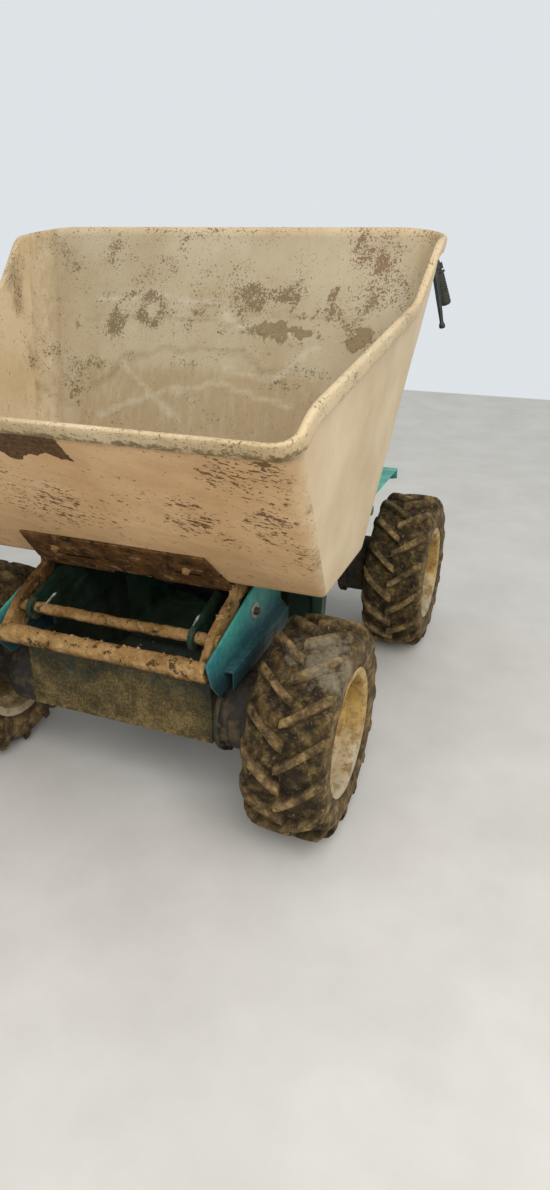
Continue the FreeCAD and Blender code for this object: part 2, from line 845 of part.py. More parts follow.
def brake_lever():
    middle = bar_corner + grip_along * (lever_clamp_at + lever_clamp_width / 2)
    reach = grip_along * (lever_clamp_width / 2)
    clamp = bar(middle - reach, middle + reach, cross_bar_radius + lever_clamp_gauge, bar_sides)
    pivot = middle + V(0, -lever_arm, 0)
    arm = bar(middle, pivot, lever_arm_radius, lever_sides)
    along = (grip_along + V(-0.1, -0.05, 0)).normalize()
    tip = pivot + along * lever_length
    blade = bar(pivot, tip, lever_root_radius, lever_sides, lever_tip_radius)
    bead = bar(tip, tip + along * lever_bead_length, lever_bead_radius, lever_sides)
    return fuse([clamp, arm, blade, bead]).cut(cross_bar)


save("brake_levers", pair(brake_lever()))


def console():
    """Control box between the uprights, leaning with them."""
    lean = (bar_y - upright_y) / (upright_top_z - upright_bend_z)
    middle = upright_y + lean * (console_z - upright_bend_z)
    half_height = console_height / 2
    half_depth = console_depth / 2
    shift = lean * half_height
    outline = [(middle - half_depth - shift, console_z - half_height),
               (middle + half_depth - shift, console_z - half_height),
               (middle + half_depth + shift, console_z + half_height),
               (middle - half_depth + shift, console_z + half_height)]
    half = upright_x - bar_radius - seat_gap
    box = plate_x(outline, -half, half)
    face = middle + half_depth + lean * control_rise - control_sink
    controls = []
    for x, radius, length in ((control_x, button_radius, button_length), (-control_x, key_radius, key_length)):
        at = V(x, face, console_z + control_rise)
        controls.append(bar(at, at + V(0, length, 0), radius, bar_sides))
    button, key = controls
    return box.cut(button).cut(key), button, key


for name, solid in zip(("console", "stop_button", "key_switch"), console()):
    save(name, solid)


# Bumper and tow clevis at the rear
bumper_y = frame_rear + bumper_standoff + bumper_radius
bumper = bar(V(-bumper_half, bumper_y, bumper_z), V(bumper_half, bumper_y, bumper_z),
             bumper_radius, tube_sides)
save("rear_bumper", bumper)
stay_x = frame_half_width - stay_inset
stay = block(stay_x - stay_half_width, stay_x + stay_half_width, frame_rear, bumper_y,
             bumper_z - stay_half_height, bumper_z + stay_half_height)
save("bumper_stays", pair(stay.cut(bumper)))

clevis_hole_y = bumper_y + clevis_hole_offset
clevis_hole = rod((0, clevis_hole_y, bumper_z - 2 * clevis_half),
                  (0, clevis_hole_y, bumper_z + 2 * clevis_half), clevis_hole_radius)
clevis = []
clevis_gap = bumper_radius + clevis_clearance
for z in (bumper_z + clevis_gap, bumper_z - clevis_gap - clevis_gauge):
    leaf = block(-clevis_half, clevis_half, frame_rear, clevis_hole_y + clevis_nose, z, z + clevis_gauge)
    clevis.append(leaf.cut(clevis_hole))
save("tow_clevis", Part.makeCompound(clevis))


# Tipping ram

def ram():
    base = V(0, ram_base_y, ram_base_z)
    eye = V(0, ram_eye_y, ram_eye_z)
    along = (eye - base).normalize()
    length = (eye - base).Length
    mouth = base + along * (length - ram_barrel_short)
    barrel = bar(base + along * ram_barrel_start, mouth, ram_barrel_radius, ram_sides)
    half = V(ram_barrel_radius, 0, 0)
    tail = bar(base - half, base + half, ram_tail_radius, ram_sides)
    neck = bar(base, base + along * ram_bore_start, ram_neck_radius, ram_sides)
    bore = bar(base + along * ram_bore_start, eye, ram_rod_radius + seat_gap, ram_sides)
    pin_hole = rod(base - half * 2, base + half * 2, ram_pin_radius + seat_gap)
    barrel = fuse([barrel, tail, neck]).cut(bore).cut(pin_hole)
    stem = bar(base + along * ram_rod_start, eye, ram_rod_radius, ram_sides)
    head = bar(eye - V(ram_head_half, 0, 0), eye + V(ram_head_half, 0, 0), ram_head_radius, ram_sides)
    return barrel, fuse([stem, head])


for name, solid in zip(("ram_barrel", "ram_rod"), ram()):
    save(name, solid)
lug_x = ram_barrel_radius + ram_lug_gap
outline = [(ram_base_y - ram_lug_foot_half, battery_base), (ram_base_y + ram_lug_foot_half, battery_base),
           (ram_base_y + ram_lug_half, ram_base_z + ram_lug_half),
           (ram_base_y - ram_lug_half, ram_base_z + ram_lug_half)]
base_lug = plate_x(outline, lug_x, lug_x + ram_lug_gauge)
pin_half = lug_x + ram_lug_gauge
pin = rod((-pin_half, ram_base_y, ram_base_z), (pin_half, ram_base_y, ram_base_z), ram_pin_radius)
save("ram_base", fuse([base_lug, mirrored(base_lug), pin]))
eye_lug_x = ram_head_half + eye_lug_gap
eye_lug = block(eye_lug_x, eye_lug_x + ram_lug_gauge, ram_eye_y - ram_lug_half, ram_eye_y + ram_lug_half,
                ram_eye_z - ram_lug_half, cradle_under)
save("ram_eye_lugs", pair(eye_lug))

# The origin goes to the middle of the overall length, on the ground
front_end = pieces["skip_tub"].optimalBoundingBox(False, False).YMin
rear_end = pieces["tow_clevis"].optimalBoundingBox(False, False).YMax
origin_y = round((front_end + rear_end) / 2)
for name, shape in pieces.items():
    shape.translate(V(0, -origin_y, 0))
    shape.exportStep("parts/" + name + ".step")
print("pieces", len(pieces), "origin is behind the front axle by", origin_y)
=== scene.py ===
import json
import math
import bmesh
import bpy
from mathutils import Matrix, Quaternion, Vector, noise


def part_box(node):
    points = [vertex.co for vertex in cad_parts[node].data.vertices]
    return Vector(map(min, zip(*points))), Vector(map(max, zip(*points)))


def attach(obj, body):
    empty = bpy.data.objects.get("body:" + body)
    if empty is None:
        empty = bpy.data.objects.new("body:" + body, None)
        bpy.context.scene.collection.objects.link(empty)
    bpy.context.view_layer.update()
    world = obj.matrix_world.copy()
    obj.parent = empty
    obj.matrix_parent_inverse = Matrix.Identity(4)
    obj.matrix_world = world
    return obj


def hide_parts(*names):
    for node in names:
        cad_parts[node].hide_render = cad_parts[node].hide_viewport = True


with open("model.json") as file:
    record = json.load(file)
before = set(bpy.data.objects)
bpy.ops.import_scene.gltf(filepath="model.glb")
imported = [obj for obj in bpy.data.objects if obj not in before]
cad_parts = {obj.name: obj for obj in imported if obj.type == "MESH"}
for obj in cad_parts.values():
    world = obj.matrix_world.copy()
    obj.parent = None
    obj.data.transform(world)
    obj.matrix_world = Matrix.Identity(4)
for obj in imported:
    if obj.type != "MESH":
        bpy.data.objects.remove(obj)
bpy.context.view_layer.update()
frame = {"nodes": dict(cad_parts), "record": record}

# Site dumper: dried mud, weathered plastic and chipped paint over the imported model, in metres.
scene = bpy.context.scene
mm = 0.001
slotOf = {row["node"]: row["material_slot"] for row in frame["record"]["subparts"]}
bodyOf = {node: body for body, nodes in frame["record"]["behaviour"]["bodies"].items() for node in nodes}


def boxOf(node):
    low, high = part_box(node)
    return Vector(low), Vector(high)


def middleOf(node):
    low, high = boxOf(node)
    return (low + high) / 2


axleY = middleOf("tyre_front_left").y  # the front axle; places below are measured from it

# View: the photograph's own lens and angle

view = {"focalPixels": 767.9, "frameHeight": 1190, "place": (1.0288, -1.6283, 1.4706),
        "yaw": 20.87, "pitch": 25.14, "roll": 0.257}

camera = bpy.data.objects.new("camera", bpy.data.cameras.new("camera"))
scene.collection.objects.link(camera)
scene.camera = camera
camera.data.sensor_width = 36
camera.data.lens = view["focalPixels"] / view["frameHeight"] * camera.data.sensor_width
camera.location = Vector(view["place"]) + Vector((0, axleY, 0))
yaw = math.radians(view["yaw"])
pitch = math.radians(view["pitch"])
forward = Vector((-math.sin(yaw) * math.cos(pitch), math.cos(yaw) * math.cos(pitch), -math.sin(pitch)))
camera.rotation_mode = "QUATERNION"
turnLevel = forward.to_track_quat("-Z", "Y")
camera.rotation_quaternion = turnLevel @ Quaternion((0, 0, 1), math.radians(view["roll"]))

# Material tools


def linear(text):
    parts = [int(text[n:n + 2], 16) / 255 for n in (1, 3, 5)]
    return tuple(c / 12.92 if c <= 0.04045 else ((c + 0.055) / 1.055) ** 2.4 for c in parts) + (1.0,)


def addNode(tree, kind, inputs=None, out=0, ramp=(), **settings):
    # one node with its settings; sockets are linked, hex texts become colours; gives back one output
    node = tree.nodes.new(kind)
    for key, value in settings.items():
        setattr(node, key, value)
    for key, value in (inputs or {}).items():
        if isinstance(value, bpy.types.NodeSocket):
            tree.links.new(value, node.inputs[key])
        else:
            node.inputs[key].default_value = linear(value) if isinstance(value, str) else value
    for place, (position, colour) in enumerate(ramp):
        stops = node.color_ramp.elements
        stop = stops[place] if place < 2 else stops.new(position)
        stop.position = position
        stop.color = linear(colour)
    return node.outputs[out] if node.outputs else None


def reckon(tree, *terms, how="ADD"):
    # the terms added up, or taken together as how says; a term in brackets is a product
    total = None
    for term in terms:
        part, *factors = term if isinstance(term, tuple) else (term,)
        for factor in factors:
            part = addNode(tree, "ShaderNodeMath", {0: part, 1: factor}, operation="MULTIPLY")
        total = part if total is None else addNode(tree, "ShaderNodeMath", {0: total, 1: part}, operation=how)
    return total


def showing(tree, none, full, *terms):
    # how far the sum of the terms has come from none, giving 0, to full, giving 1
    value = reckon(tree, *terms)
    return addNode(tree, "ShaderNodeMapRange", {"Value": value, "From Min": none, "From Max": full}, clamp=True)


def coats(tree, colour, *rows):
    # tones laid over each other: a row is a tone and the shares whose product says how much of it shows
    for tone, *shares in rows:
        share = reckon(tree, tuple(shares))
        colour = addNode(tree, "ShaderNodeMix", {0: share, 6: colour, 7: tone}, 2, data_type="RGBA")
    return colour


def grain(tree, spot, lump, detail=4.0, rough=0.6, stretch=(1, 1, 1), shift=(0, 0, 0), turn=(0, 0, 0)):
    # noise with lumps this many millimetres wide, drawn out along the turned axes by stretch
    if (stretch, shift, turn) != ((1, 1, 1), (0, 0, 0), (0, 0, 0)):
        spot = addNode(tree, "ShaderNodeMapping", {"Vector": spot, "Location": shift, "Rotation": turn,
                                                   "Scale": stretch}, vector_type="TEXTURE")
    return addNode(tree, "ShaderNodeTexNoise", {"Vector": spot, "Scale": 1 / (lump * mm), "Detail": detail,
                                                "Roughness": rough})


def newMaterial(name, marks=(), **shaderValues):
    # a material, its tree, the place on the object, and the point attributes that marks names
    made = bpy.data.materials.new(name)
    made.use_nodes = True
    tree = made.node_tree
    for key, value in shaderValues.items():
        tree.nodes["Principled BSDF"].inputs[key.replace("_", " ")].default_value = value
    found = [addNode(tree, "ShaderNodeAttribute", out="Fac", attribute_name=mark) for mark in marks]
    return [made, tree, addNode(tree, "ShaderNodeTexCoord", out="Object")] + found


def finishWith(made, colour, rough=None, height=None, depth=0.002, strength=0.6):
    tree = made.node_tree
    ends = {"Base Color": colour, "Roughness": rough}
    if height is not None:
        ends["Normal"] = addNode(tree, "ShaderNodeBump", {"Height": height, "Distance": depth, "Strength": strength})
    for key, value in ends.items():
        if value is not None:
            tree.links.new(value, tree.nodes["Principled BSDF"].inputs[key])
    return made


# Finishes

tubMarks = ["inside", "front", "lip", "paintedSideLight", "film", "tide", "scrape", "cluster", "patch", "mud", "olive", "shade"]


def makeMouldedPolyethylene():
    # the tub: cream plastic, warm outside and greyer inside, with painted light on the inner side walls, specked with
    # splashes and caked under the lip; painted shade in the rear inner corners and under the lip outside
    made, tree, spot, inside, front, lip, paintedSideLight, film, tide, scrape, cluster, patch, mud, olive, shade = newMaterial(
        "moulded polyethylene, cream, muddy", tubMarks, Roughness=0.5, IOR=1.5, Specular_IOR_Level=0.3)
    behind = reckon(tree, 1.0, (front, -1.0))
    broad = grain(tree, spot, 250, 5)
    fine = grain(tree, spot, 22.22, 7, 0.7)
    crumb = grain(tree, spot, 8, 4, 0.62)
    dot = grain(tree, spot, 3.704, 3, 0.6, shift=(1, 2, 3))
    tint = addNode(tree, "ShaderNodeValToRGB", {0: broad}, ramp=[(0.3, "#E0D4C4"), (0.7, "#FFFFFF")])
    # painted light: the inner side walls are painted lighter and warmer than the back wall
    clean = coats(tree, "#D8C3A0", ("#E2BD90", front), ("#BBAD91", inside), ("#DCC9A6", paintedSideLight), ("#D9C49E", lip, 0.85))
    clean = addNode(tree, "ShaderNodeMix", {0: 0.9, 6: clean, 7: tint}, 2, data_type="RGBA", blend_type="MULTIPLY")
    # thin brown film: run down the walls inside, smeared along the front wall; where the film is 0.75 in the rear inner
    # corners it is painted shade
    smear = grain(tree, spot, 66.67, 8, 0.72, stretch=(2.6, 1.0, 0.7), turn=(0, 0.35, 0))
    run = grain(tree, spot, 29.41, 7, 0.7, stretch=(0.7, 1.0, 3.0))
    filmAndShade = showing(tree, 0.6, 0.95, (film, 0.4), (smear, front), (run, behind))
    filmAndShadeTone = coats(tree, "#A08A66", ("#AE8A60", front))
    # tide lines and the pale scrapes that cross them, both wandering; outside, the tide mark is a painted shade line
    # just under the lip
    wander = reckon(tree, (grain(tree, spot, 41.67, 8, 0.78, shift=(3, 1, 7)), 1.7), -0.85)
    tide = showing(tree, 0.4, 0.9, tide, wander)
    scrape = showing(tree, 0.35, 1.0, scrape, wander)
    # splashes that dried as specks, thick in clusters and loose between them, redder high up
    uneven = reckon(tree, (grain(tree, spot, 66.67, 6, 0.68, stretch=(1.9, 1.0, 1.0), shift=(5, 5, 2)), 2.6), -1.3)
    share = reckon(tree, reckon(tree, (cluster, 0.15), (uneven, 0.15)), 0.175, how="MINIMUM")
    speck = reckon(tree, showing(tree, 0.665, 0.695, crumb, share), showing(tree, 0.73, 0.77, fine, share),
                   showing(tree, 0.68, 0.71, dot, share), how="MAXIMUM")
    speck = reckon(tree, (speck, behind))
    high = showing(tree, 1.44, 1.62, addNode(tree, "ShaderNodeSeparateXYZ", {0: spot}, 2), (broad, 0.4))
    speckTone = coats(tree, "#6B5833", ("#74472E", high))
    # solid patches with ragged edges
    patch = showing(tree, 0.76, 0.84, (patch, 0.34), fine, (uneven, 0.06))
    # flecks thrown across the front wall, slanting down towards the left side
    throw = grain(tree, spot, 14.29, 5, 0.62, stretch=(2.3, 1.0, 0.8), turn=(0, 0.45, 0))
    spatter = grain(tree, spot, 7.692, 4, 0.6, stretch=(1.6, 1.0, 0.9), turn=(0, 0.2, 0))
    force = reckon(tree, (cluster, 0.115), (uneven, 0.092))
    fleck = reckon(tree, showing(tree, 0.665, 0.69, throw, force), showing(tree, 0.675, 0.7, spatter, force),
                   how="MAXIMUM")
    fleck = reckon(tree, (fleck, front))
    # caked mud under the front lip, olive dirt along the lip's lower edge
    cake = showing(tree, 0.97, 1.02, mud, (fine, 0.9))
    cakeTone = addNode(tree, "ShaderNodeValToRGB", {0: crumb}, ramp=[(0.35, "#452E1A"), (0.65, "#6E5030")])
    olive = showing(tree, 0.74, 0.82, (olive, 0.32), fine)
    colour = coats(tree, clean, (filmAndShadeTone, filmAndShade, 0.7), ("#86724E", tide, 0.45), ("#D2CAB6", scrape, 0.42),
                   ("#A38F6C", showing(tree, 0.1, 0.3, share), behind, 0.35), (speckTone, speck, 0.78),
                   ("#7F6945", patch, 0.8), ("#56360F", fleck, 0.86), (cakeTone, cake), ("#6A5A34", olive, 0.8),
                   ("#0E0A06", shade))
    rough = showing(tree, 0, 1, 0.48, (filmAndShade, 0.35), (cake, 0.35))
    height = reckon(tree, cake, patch, (fleck, 0.5), (speck, 0.5), (fine, 0.15))
    return finishWith(made, colour, rough, height, 0.0018, 0.9)


def makeDriedMud():
    # steel of the tipping frame under dried clay: pale and flaky, dark where soil is 1 (dark clay, and painted shade on
    # undersides and the right arm), black at 2: painted shade in the slots
    made, tree, spot, soil = newMaterial("dried clay on steel", ["soil"], Roughness=0.95, Specular_IOR_Level=0.15)
    broad = grain(tree, spot, 62.5, 7, 0.68)
    fine = grain(tree, spot, 5.882, 6, 0.7)
    pale = addNode(tree, "ShaderNodeValToRGB", {0: broad}, ramp=[(0.34, "#75572F"), (0.5, "#9B7A4B"), (0.66, "#B9976A")])
    # the dark tone shows dark clay, and also painted shade on undersides and the right arm
    dark = addNode(tree, "ShaderNodeValToRGB", {0: broad}, ramp=[(0.34, "#362410"), (0.52, "#5B3C1E"), (0.7, "#845C2E")])
    flake = showing(tree, 0.57, 0.62, grain(tree, spot, 29.41, 7, 0.7, shift=(2, 5, 1)))
    bare = showing(tree, 0.565, 0.6, grain(tree, spot, 33.33, 8, 0.74, shift=(7, 1, 4)))
    colour = coats(tree, pale, (dark, soil), ("#543C24", showing(tree, 0.53, 0.7, fine), 0.5), ("#C6A67A", flake, 0.35),
                   # the last tone here is painted shade: black inside the plate's slots
                   ("#2A1F14", bare, 0.85), ("#0B0805", showing(tree, 1.3, 1.7, soil)))
    height = reckon(tree, broad, (flake, 0.3), (fine, 0.4), (bare, -0.35))
    return finishWith(made, colour, None, height, 0.006, 0.8)


def makeTealEnamel():
    # brushed-on teal enamel: chipped outside, olive soil on the front box; painted shade, nearly black, inside the
    # frame, and painted shade low down and at the front box's wheel end
    made, tree, spot = newMaterial("teal enamel, muddy", Roughness=0.45, IOR=1.5, Specular_IOR_Level=0.25)
    x, y, z = addNode(tree, "ShaderNodeSeparateXYZ", {0: spot}).node.outputs
    across = addNode(tree, "ShaderNodeMath", {0: x}, operation="ABSOLUTE")
    between = showing(tree, 0.2778, 0.2768, across)
    box = reckon(tree, (showing(tree, axleY + 0.62, axleY + 0.48, y), showing(tree, 0.306, 0.296, across)))
    within = reckon(tree, box, (showing(tree, 0.61, 0.6, z), between), how="MAXIMUM")
    hollow = reckon(tree, (within, showing(tree, axleY - 0.121, axleY - 0.117, y), between))
    cloud = grain(tree, spot, 142.86, 5)
    fine = grain(tree, spot, 16.67, 7, 0.7)
    bright = addNode(tree, "ShaderNodeValToRGB", {0: cloud}, ramp=[(0.36, "#318F86"), (0.62, "#52B09A")])
    # painted shade: the frame's inside is nearly black
    shadeInside = addNode(tree, "ShaderNodeValToRGB", {0: cloud}, ramp=[(0.36, "#07190F"), (0.64, "#12382A")])
    chips = showing(tree, 0.64, 0.66, grain(tree, spot, 11.765, 6, 0.66, shift=(4, 4, 4)))
    scuff = showing(tree, 0.65, 0.69, grain(tree, spot, 8.333, 5, 0.66, stretch=(1, 3, 1), turn=(-0.3, 0, 0)))
    dust = showing(tree, 0.52, 0.74, grain(tree, spot, 52.63, 8, 0.72, shift=(1, 3, 2)))
    # painted shade: darker, near black, low down at the front of the frame and side plates
    lowFrontShade = showing(tree, 0, 1, showing(tree, 0.59, 0.46, z), (fine, 1.5), -0.75)
    # soil: thickest low down and on the front box, thin in the hollow behind it
    low = showing(tree, 0.46, 0.3, z)
    soil = showing(tree, 0.62, 0.86, (low, 0.24), (box, 0.18), grain(tree, spot, 111.1, 9, 0.78, shift=(3, 8, 5)))
    soil = reckon(tree, soil, (soil, hollow, -0.85))
    grit = reckon(tree, (grain(tree, spot, 5.263, 5, 0.7), 0.5), (grain(tree, spot, 71.43, 6, 0.7), 0.5))
    soilTone = addNode(tree, "ShaderNodeValToRGB", {0: grit},
                       ramp=[(0.4, "#312A14"), (0.5, "#58492A"), (0.6, "#7E6A40")])
    stain = showing(tree, 0.5, 0.68, grain(tree, spot, 166.7, 6, 0.7, shift=(8, 2, 6)))
    outside = reckon(tree, 1.0, (hollow, -1.0))
    hem = reckon(tree, (showing(tree, 0.272, 0.252, z), showing(tree, 0.46, 0.58, fine), outside))
    # painted shade and reflection low down: the side plates turn bluer towards the bottom
    colour = coats(tree, bright, ("#306A7C", showing(tree, 0.62, 0.46, z)),
                   # painted shade low down further back: a darker green
                   ("#35523F", showing(tree, axleY + 0.24, axleY + 0.34, y), showing(tree, 0.64, 0.58, z)),
                   (shadeInside, within), ("#4A3827", chips, 0.75), ("#8FB5AE", scuff, 0.4), ("#5F6B58", dust, 0.45),
                   ("#222B25", lowFrontShade, showing(tree, axleY + 0.5, axleY + 0.3, y), 0.82), (soilTone, soil, 0.92),
                   # the second tone on this line is painted shade at the front box's end by the wheel
                   ("#1E2414", stain, box, 0.5), ("#171A12", showing(tree, 0.22, 0.275, x), box, 0.6),
                   ("#94794F", hem, 0.6))
    rough = showing(tree, 0, 1, 0.4, (soil, 0.45), (dust, 0.45))
    height = reckon(tree, soil, (fine, 0.35), (chips, -0.3))
    return finishWith(made, colour, rough, height, 0.0022, 0.7)


def makeTyreRubber():
    # moulded rubber: brown dust on the lugs, hollows darkened nearly black by packed mud and painted shade, and on the
    # front left tyre's top a grey patch of painted reflection, partly dust
    made, tree, spot, groove, dustAndSheen = newMaterial("tyre rubber, muddy", ["groove", "dust"], Roughness=0.9,
                                                Specular_IOR_Level=0.25)
    broad = grain(tree, spot, 83.33, 7, 0.7)
    fine = grain(tree, spot, 9.091, 6, 0.7)
    clod = grain(tree, spot, 30.3, 7, 0.7, shift=(1, 7, 3))
    worn = addNode(tree, "ShaderNodeValToRGB", {0: clod}, ramp=[(0.34, "#32281A"), (0.5, "#675234"), (0.66, "#9C8253")])
    # packed mud and painted shade in the grooves, darker than on the lugs
    packedMudAndShade = addNode(tree, "ShaderNodeValToRGB", {0: clod},
                     ramp=[(0.4, "#211A10"), (0.51, "#41341E"), (0.6, "#5E4B2A"), (0.7, "#806B42")])
    pale = showing(tree, 0.66, 0.74, grain(tree, spot, 62.5, 8, 0.75, shift=(4, 4, 9)), (fine, 0.2))
    straw = showing(tree, 0.65, 0.69, grain(tree, spot, 10.526, 4, 0.6, stretch=(1, 1, 2.5), shift=(9, 1, 2)))
    # the dust attribute carries, on the front left tyre, a grey patch of painted reflection, partly dust
    dust = showing(tree, 0.66, 0.86, grain(tree, spot, 45.45, 8, 0.74, shift=(5, 2, 8)), (dustAndSheen, 0.28))
    colour = coats(tree, worn, (packedMudAndShade, groove), ("#272014", showing(tree, 0.52, 0.6, broad), 0.55),
                   ("#8E784E", pale, 0.5), ("#A8935F", straw, 0.6), ("#948870", dust, 0.68))
    return finishWith(made, colour, None, reckon(tree, (clod, 1.2), fine, (straw, 0.5)), 0.004, 0.9)


def makeRimEnamel():
    # cream enamel on pressed steel, rusty at the edges, splashed with clay and greyed low down
    made, tree, spot, groove = newMaterial("rim enamel, cream, muddy", ["groove"], Roughness=0.5, IOR=1.5)
    fine = grain(tree, spot, 13.333, 6, 0.7)
    cream = addNode(tree, "ShaderNodeValToRGB", {0: grain(tree, spot, 100, 5)},
                    ramp=[(0.3, "#9E7B36"), (0.7, "#C6A765")])
    low = showing(tree, 0.27, 0.14, addNode(tree, "ShaderNodeSeparateXYZ", {0: spot}, 2))
    grey = showing(tree, 0.6, 0.74, (low, 0.3), grain(tree, spot, 71.43, 7, 0.7, shift=(2, 9, 4)))
    mud = showing(tree, 0.5, 0.62, grain(tree, spot, 41.67, 8, 0.74), (groove, 0.12))
    mudTone = addNode(tree, "ShaderNodeValToRGB", {0: fine}, ramp=[(0.35, "#644621"), (0.65, "#A07C45")])
    rust = showing(tree, 0.6, 0.66, grain(tree, spot, 11.11, 6, 0.68, shift=(6, 1, 1)))
    colour = coats(tree, cream, ("#AEA48E", grey, 0.7), (mudTone, mud, 0.85), ("#6A3F1D", rust, 0.7))
    rough = showing(tree, 0, 1, 0.45, (mud, 0.45))
    return finishWith(made, colour, rough, reckon(tree, (mud, 0.6), (fine, 0.4)), 0.0025, 0.7)


def makePlain(name, light, dark, dust, roughness, metallic=0.0, dustStart=0.6):
    # one finish with a mottled tone, a dusty film and a fine grain, which is drawn coarse enough to show
    made, tree, spot = newMaterial(name, Roughness=roughness, Metallic=metallic)
    tone = addNode(tree, "ShaderNodeValToRGB", {0: grain(tree, spot, 25)}, ramp=[(0.35, dark), (0.65, light)])
    film = showing(tree, dustStart, dustStart + 0.12, grain(tree, spot, 55.56, 7, 0.7, shift=(3, 3, 9)))
    rough = showing(tree, 0, 1, roughness, (film, 0.3))
    return finishWith(made, coats(tree, tone, (dust, film, 0.7)), rough, grain(tree, spot, 4.545, 3), 0.0008, 0.4)


finishes = {
    "tub_plastic": makeMouldedPolyethylene(),
    "muddy_steel": makeDriedMud(),
    "teal_paint": makeTealEnamel(),
    "tyre": makeTyreRubber(),
    "rim_paint": makeRimEnamel(),
    # soft black with no shine
    "black_rubber": makePlain("moulded rubber", "#35352B", "#22221C", "#6B6450", 0.75),
    # sand-cast skin under dirt, nearly black: the iron's dark tone darkened further as painted shade
    "motor_case": makePlain("cast iron gear case, muddy", "#322C22", "#1D1914", "#65543A", 0.75, 0.0, 0.5),
    # light metal, gone matt
    "bright_steel": makePlain("zinc plated steel, dulled", "#B9B6AB", "#8B877C", "#6E5B42", 0.5, 0.5, 0.64),
    # ground and polished, so it mirrors the room
    "ram_chrome": makePlain("hard chrome", "#D2D3D5", "#BFC1C4", "#7B6B55", 0.14, 1.0, 0.68),
    # half-gloss black on steel
    "black_plastic": makePlain("black powder coat", "#262626", "#161616", "#6A604D", 0.5, 0.0, 0.62),
    # smooth moulded red with a soft gloss
    "red_plastic": makePlain("red ABS", "#B3141A", "#8E0F14", "#6A4A3A", 0.35, 0.0, 0.66),
}
print("finishes ready", len(finishes))

# Mesh tools

mirror = Matrix.Scale(-1, 4, (1, 0, 0))


def newPiece(name, mesh, node=None, body=None, slotName=None):
    # a finished piece; it stands for the CAD node, where one is named, and takes its body and finish
    body = body or bodyOf[node]
    slotName = slotName or slotOf[node]
    piece = bpy.data.objects.new(name, mesh)
    scene.collection.objects.link(piece)
    mesh.materials.clear()
    mesh.materials.append(finishes[slotName])
    mesh.polygons.foreach_set("material_index", [0] * len(mesh.polygons))
    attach(piece, body)
    if node:
        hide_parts(node)
    return piece


def smoothed(mesh, sharpAbove=None):
    # smooth shading, with edges kept sharp above an angle in degrees
    mesh.polygons.foreach_set("use_smooth", [True] * len(mesh.polygons))
    if sharpAbove:
        mesh.set_sharp_from_angle(angle=math.radians(sharpAbove))
    return mesh


def cleaned(mesh):
    # doubles merged and faces turned outwards
    shape = bmesh.new()
    shape.from_mesh(mesh)
    bmesh.ops.remove_doubles(shape, verts=shape.verts, dist=0.01 * mm)
    bmesh.ops.recalc_face_normals(shape, faces=shape.faces)
    shape.to_mesh(mesh)
    shape.free()
    return mesh


def meshFrom(name, points, faces):
    mesh = bpy.data.meshes.new(name)
    mesh.from_pydata([tuple(p) for p in points], [], faces)
    mesh.validate()
    return cleaned(mesh)


def ringFaces(rings, count):
    # four-sided faces between closed rings of count points each
    return [(r * count + n, r * count + (n + 1) % count, (r + 1) * count + (n + 1) % count, (r + 1) * count + n)
            for r in range(rings - 1) for n in range(count)]


def joined(name, meshes):
    shape = bmesh.new()
    for mesh in meshes:
        shape.from_mesh(mesh)
    whole = bpy.data.meshes.new(name)
    shape.to_mesh(whole)
    shape.free()
    return whole


def moved(mesh, matrix):
    copy = mesh.copy()
    copy.transform(matrix)
    if matrix.determinant() < 0:
        copy.flip_normals()
    return copy


def turnTo(direction):
    # the turn that lays a piece drawn along X on a direction
    return direction.to_track_quat("X", "Z").to_matrix().to_4x4()


def evaluatedMesh(data, kind=None, given=None, **settings):
    # the plain mesh that is left once one modifier has run; given fills a node group's inputs by name
    host = bpy.data.objects.new("host", data)
    scene.collection.objects.link(host)
    modifier = host.modifiers.new(kind, kind) if kind else None
    for key, value in settings.items():
        setattr(modifier, key, value)
    for item in modifier.node_group.interface.items_tree if given else ():
        if item.item_type == "SOCKET" and item.in_out == "INPUT" and item.name in given:
            modifier[item.identifier] = given[item.name]
    bpy.context.view_layer.update()
    final = host.evaluated_get(bpy.context.evaluated_depsgraph_get())
    result = bpy.data.meshes.new_from_object(final)
    bpy.data.objects.remove(host)
    return result


def nodeMesh(node):
    # the CAD node's own triangles, merged and with their flat faces whole again
    shape = bmesh.new()
    shape.from_mesh(frame["nodes"][node].data)
    bmesh.ops.remove_doubles(shape, verts=shape.verts, dist=0.02 * mm)
    bmesh.ops.dissolve_limit(shape, angle_limit=math.radians(0.5), verts=shape.verts, edges=shape.edges)
    mesh = bpy.data.meshes.new(node)
    shape.to_mesh(mesh)
    shape.free()
    return mesh


def caked(mesh, voxel, amount, perMetre, seed, where=None, bias=0.35):
    # remeshes a piece evenly and piles noise on it, as dried mud does; where(point) scales the pile
    even = evaluatedMesh(mesh, "REMESH", mode="VOXEL", voxel_size=voxel)
    shift = Vector((seed, seed * 0.7, seed * 1.3))
    even.update()
    normals = [v.normal.copy() for v in even.vertices]
    for vertex, normal in zip(even.vertices, normals):
        spot = vertex.co * perMetre + shift
        lump = noise.fractal(spot, 0.9, 2.1, 4) + 0.4 * noise.fractal(spot * 3.7, 0.9, 2.1, 3)
        vertex.co += normal * amount * (lump * 0.8 + bias) * (where(vertex.co) if where else 1.0)
    return smoothed(even)


def turnedMesh(name, profile, segments=40, around=Vector()):
    # (x, radius) points in millimetres spun about X; around is the axis's place
    turns = [2 * math.pi * n / segments for n in range(segments)]
    points = [Vector((x, radius * math.sin(turn), -radius * math.cos(turn))) * mm + around
              for x, radius in profile for turn in turns]
    return smoothed(meshFrom(name, points, ringFaces(len(profile), segments)))


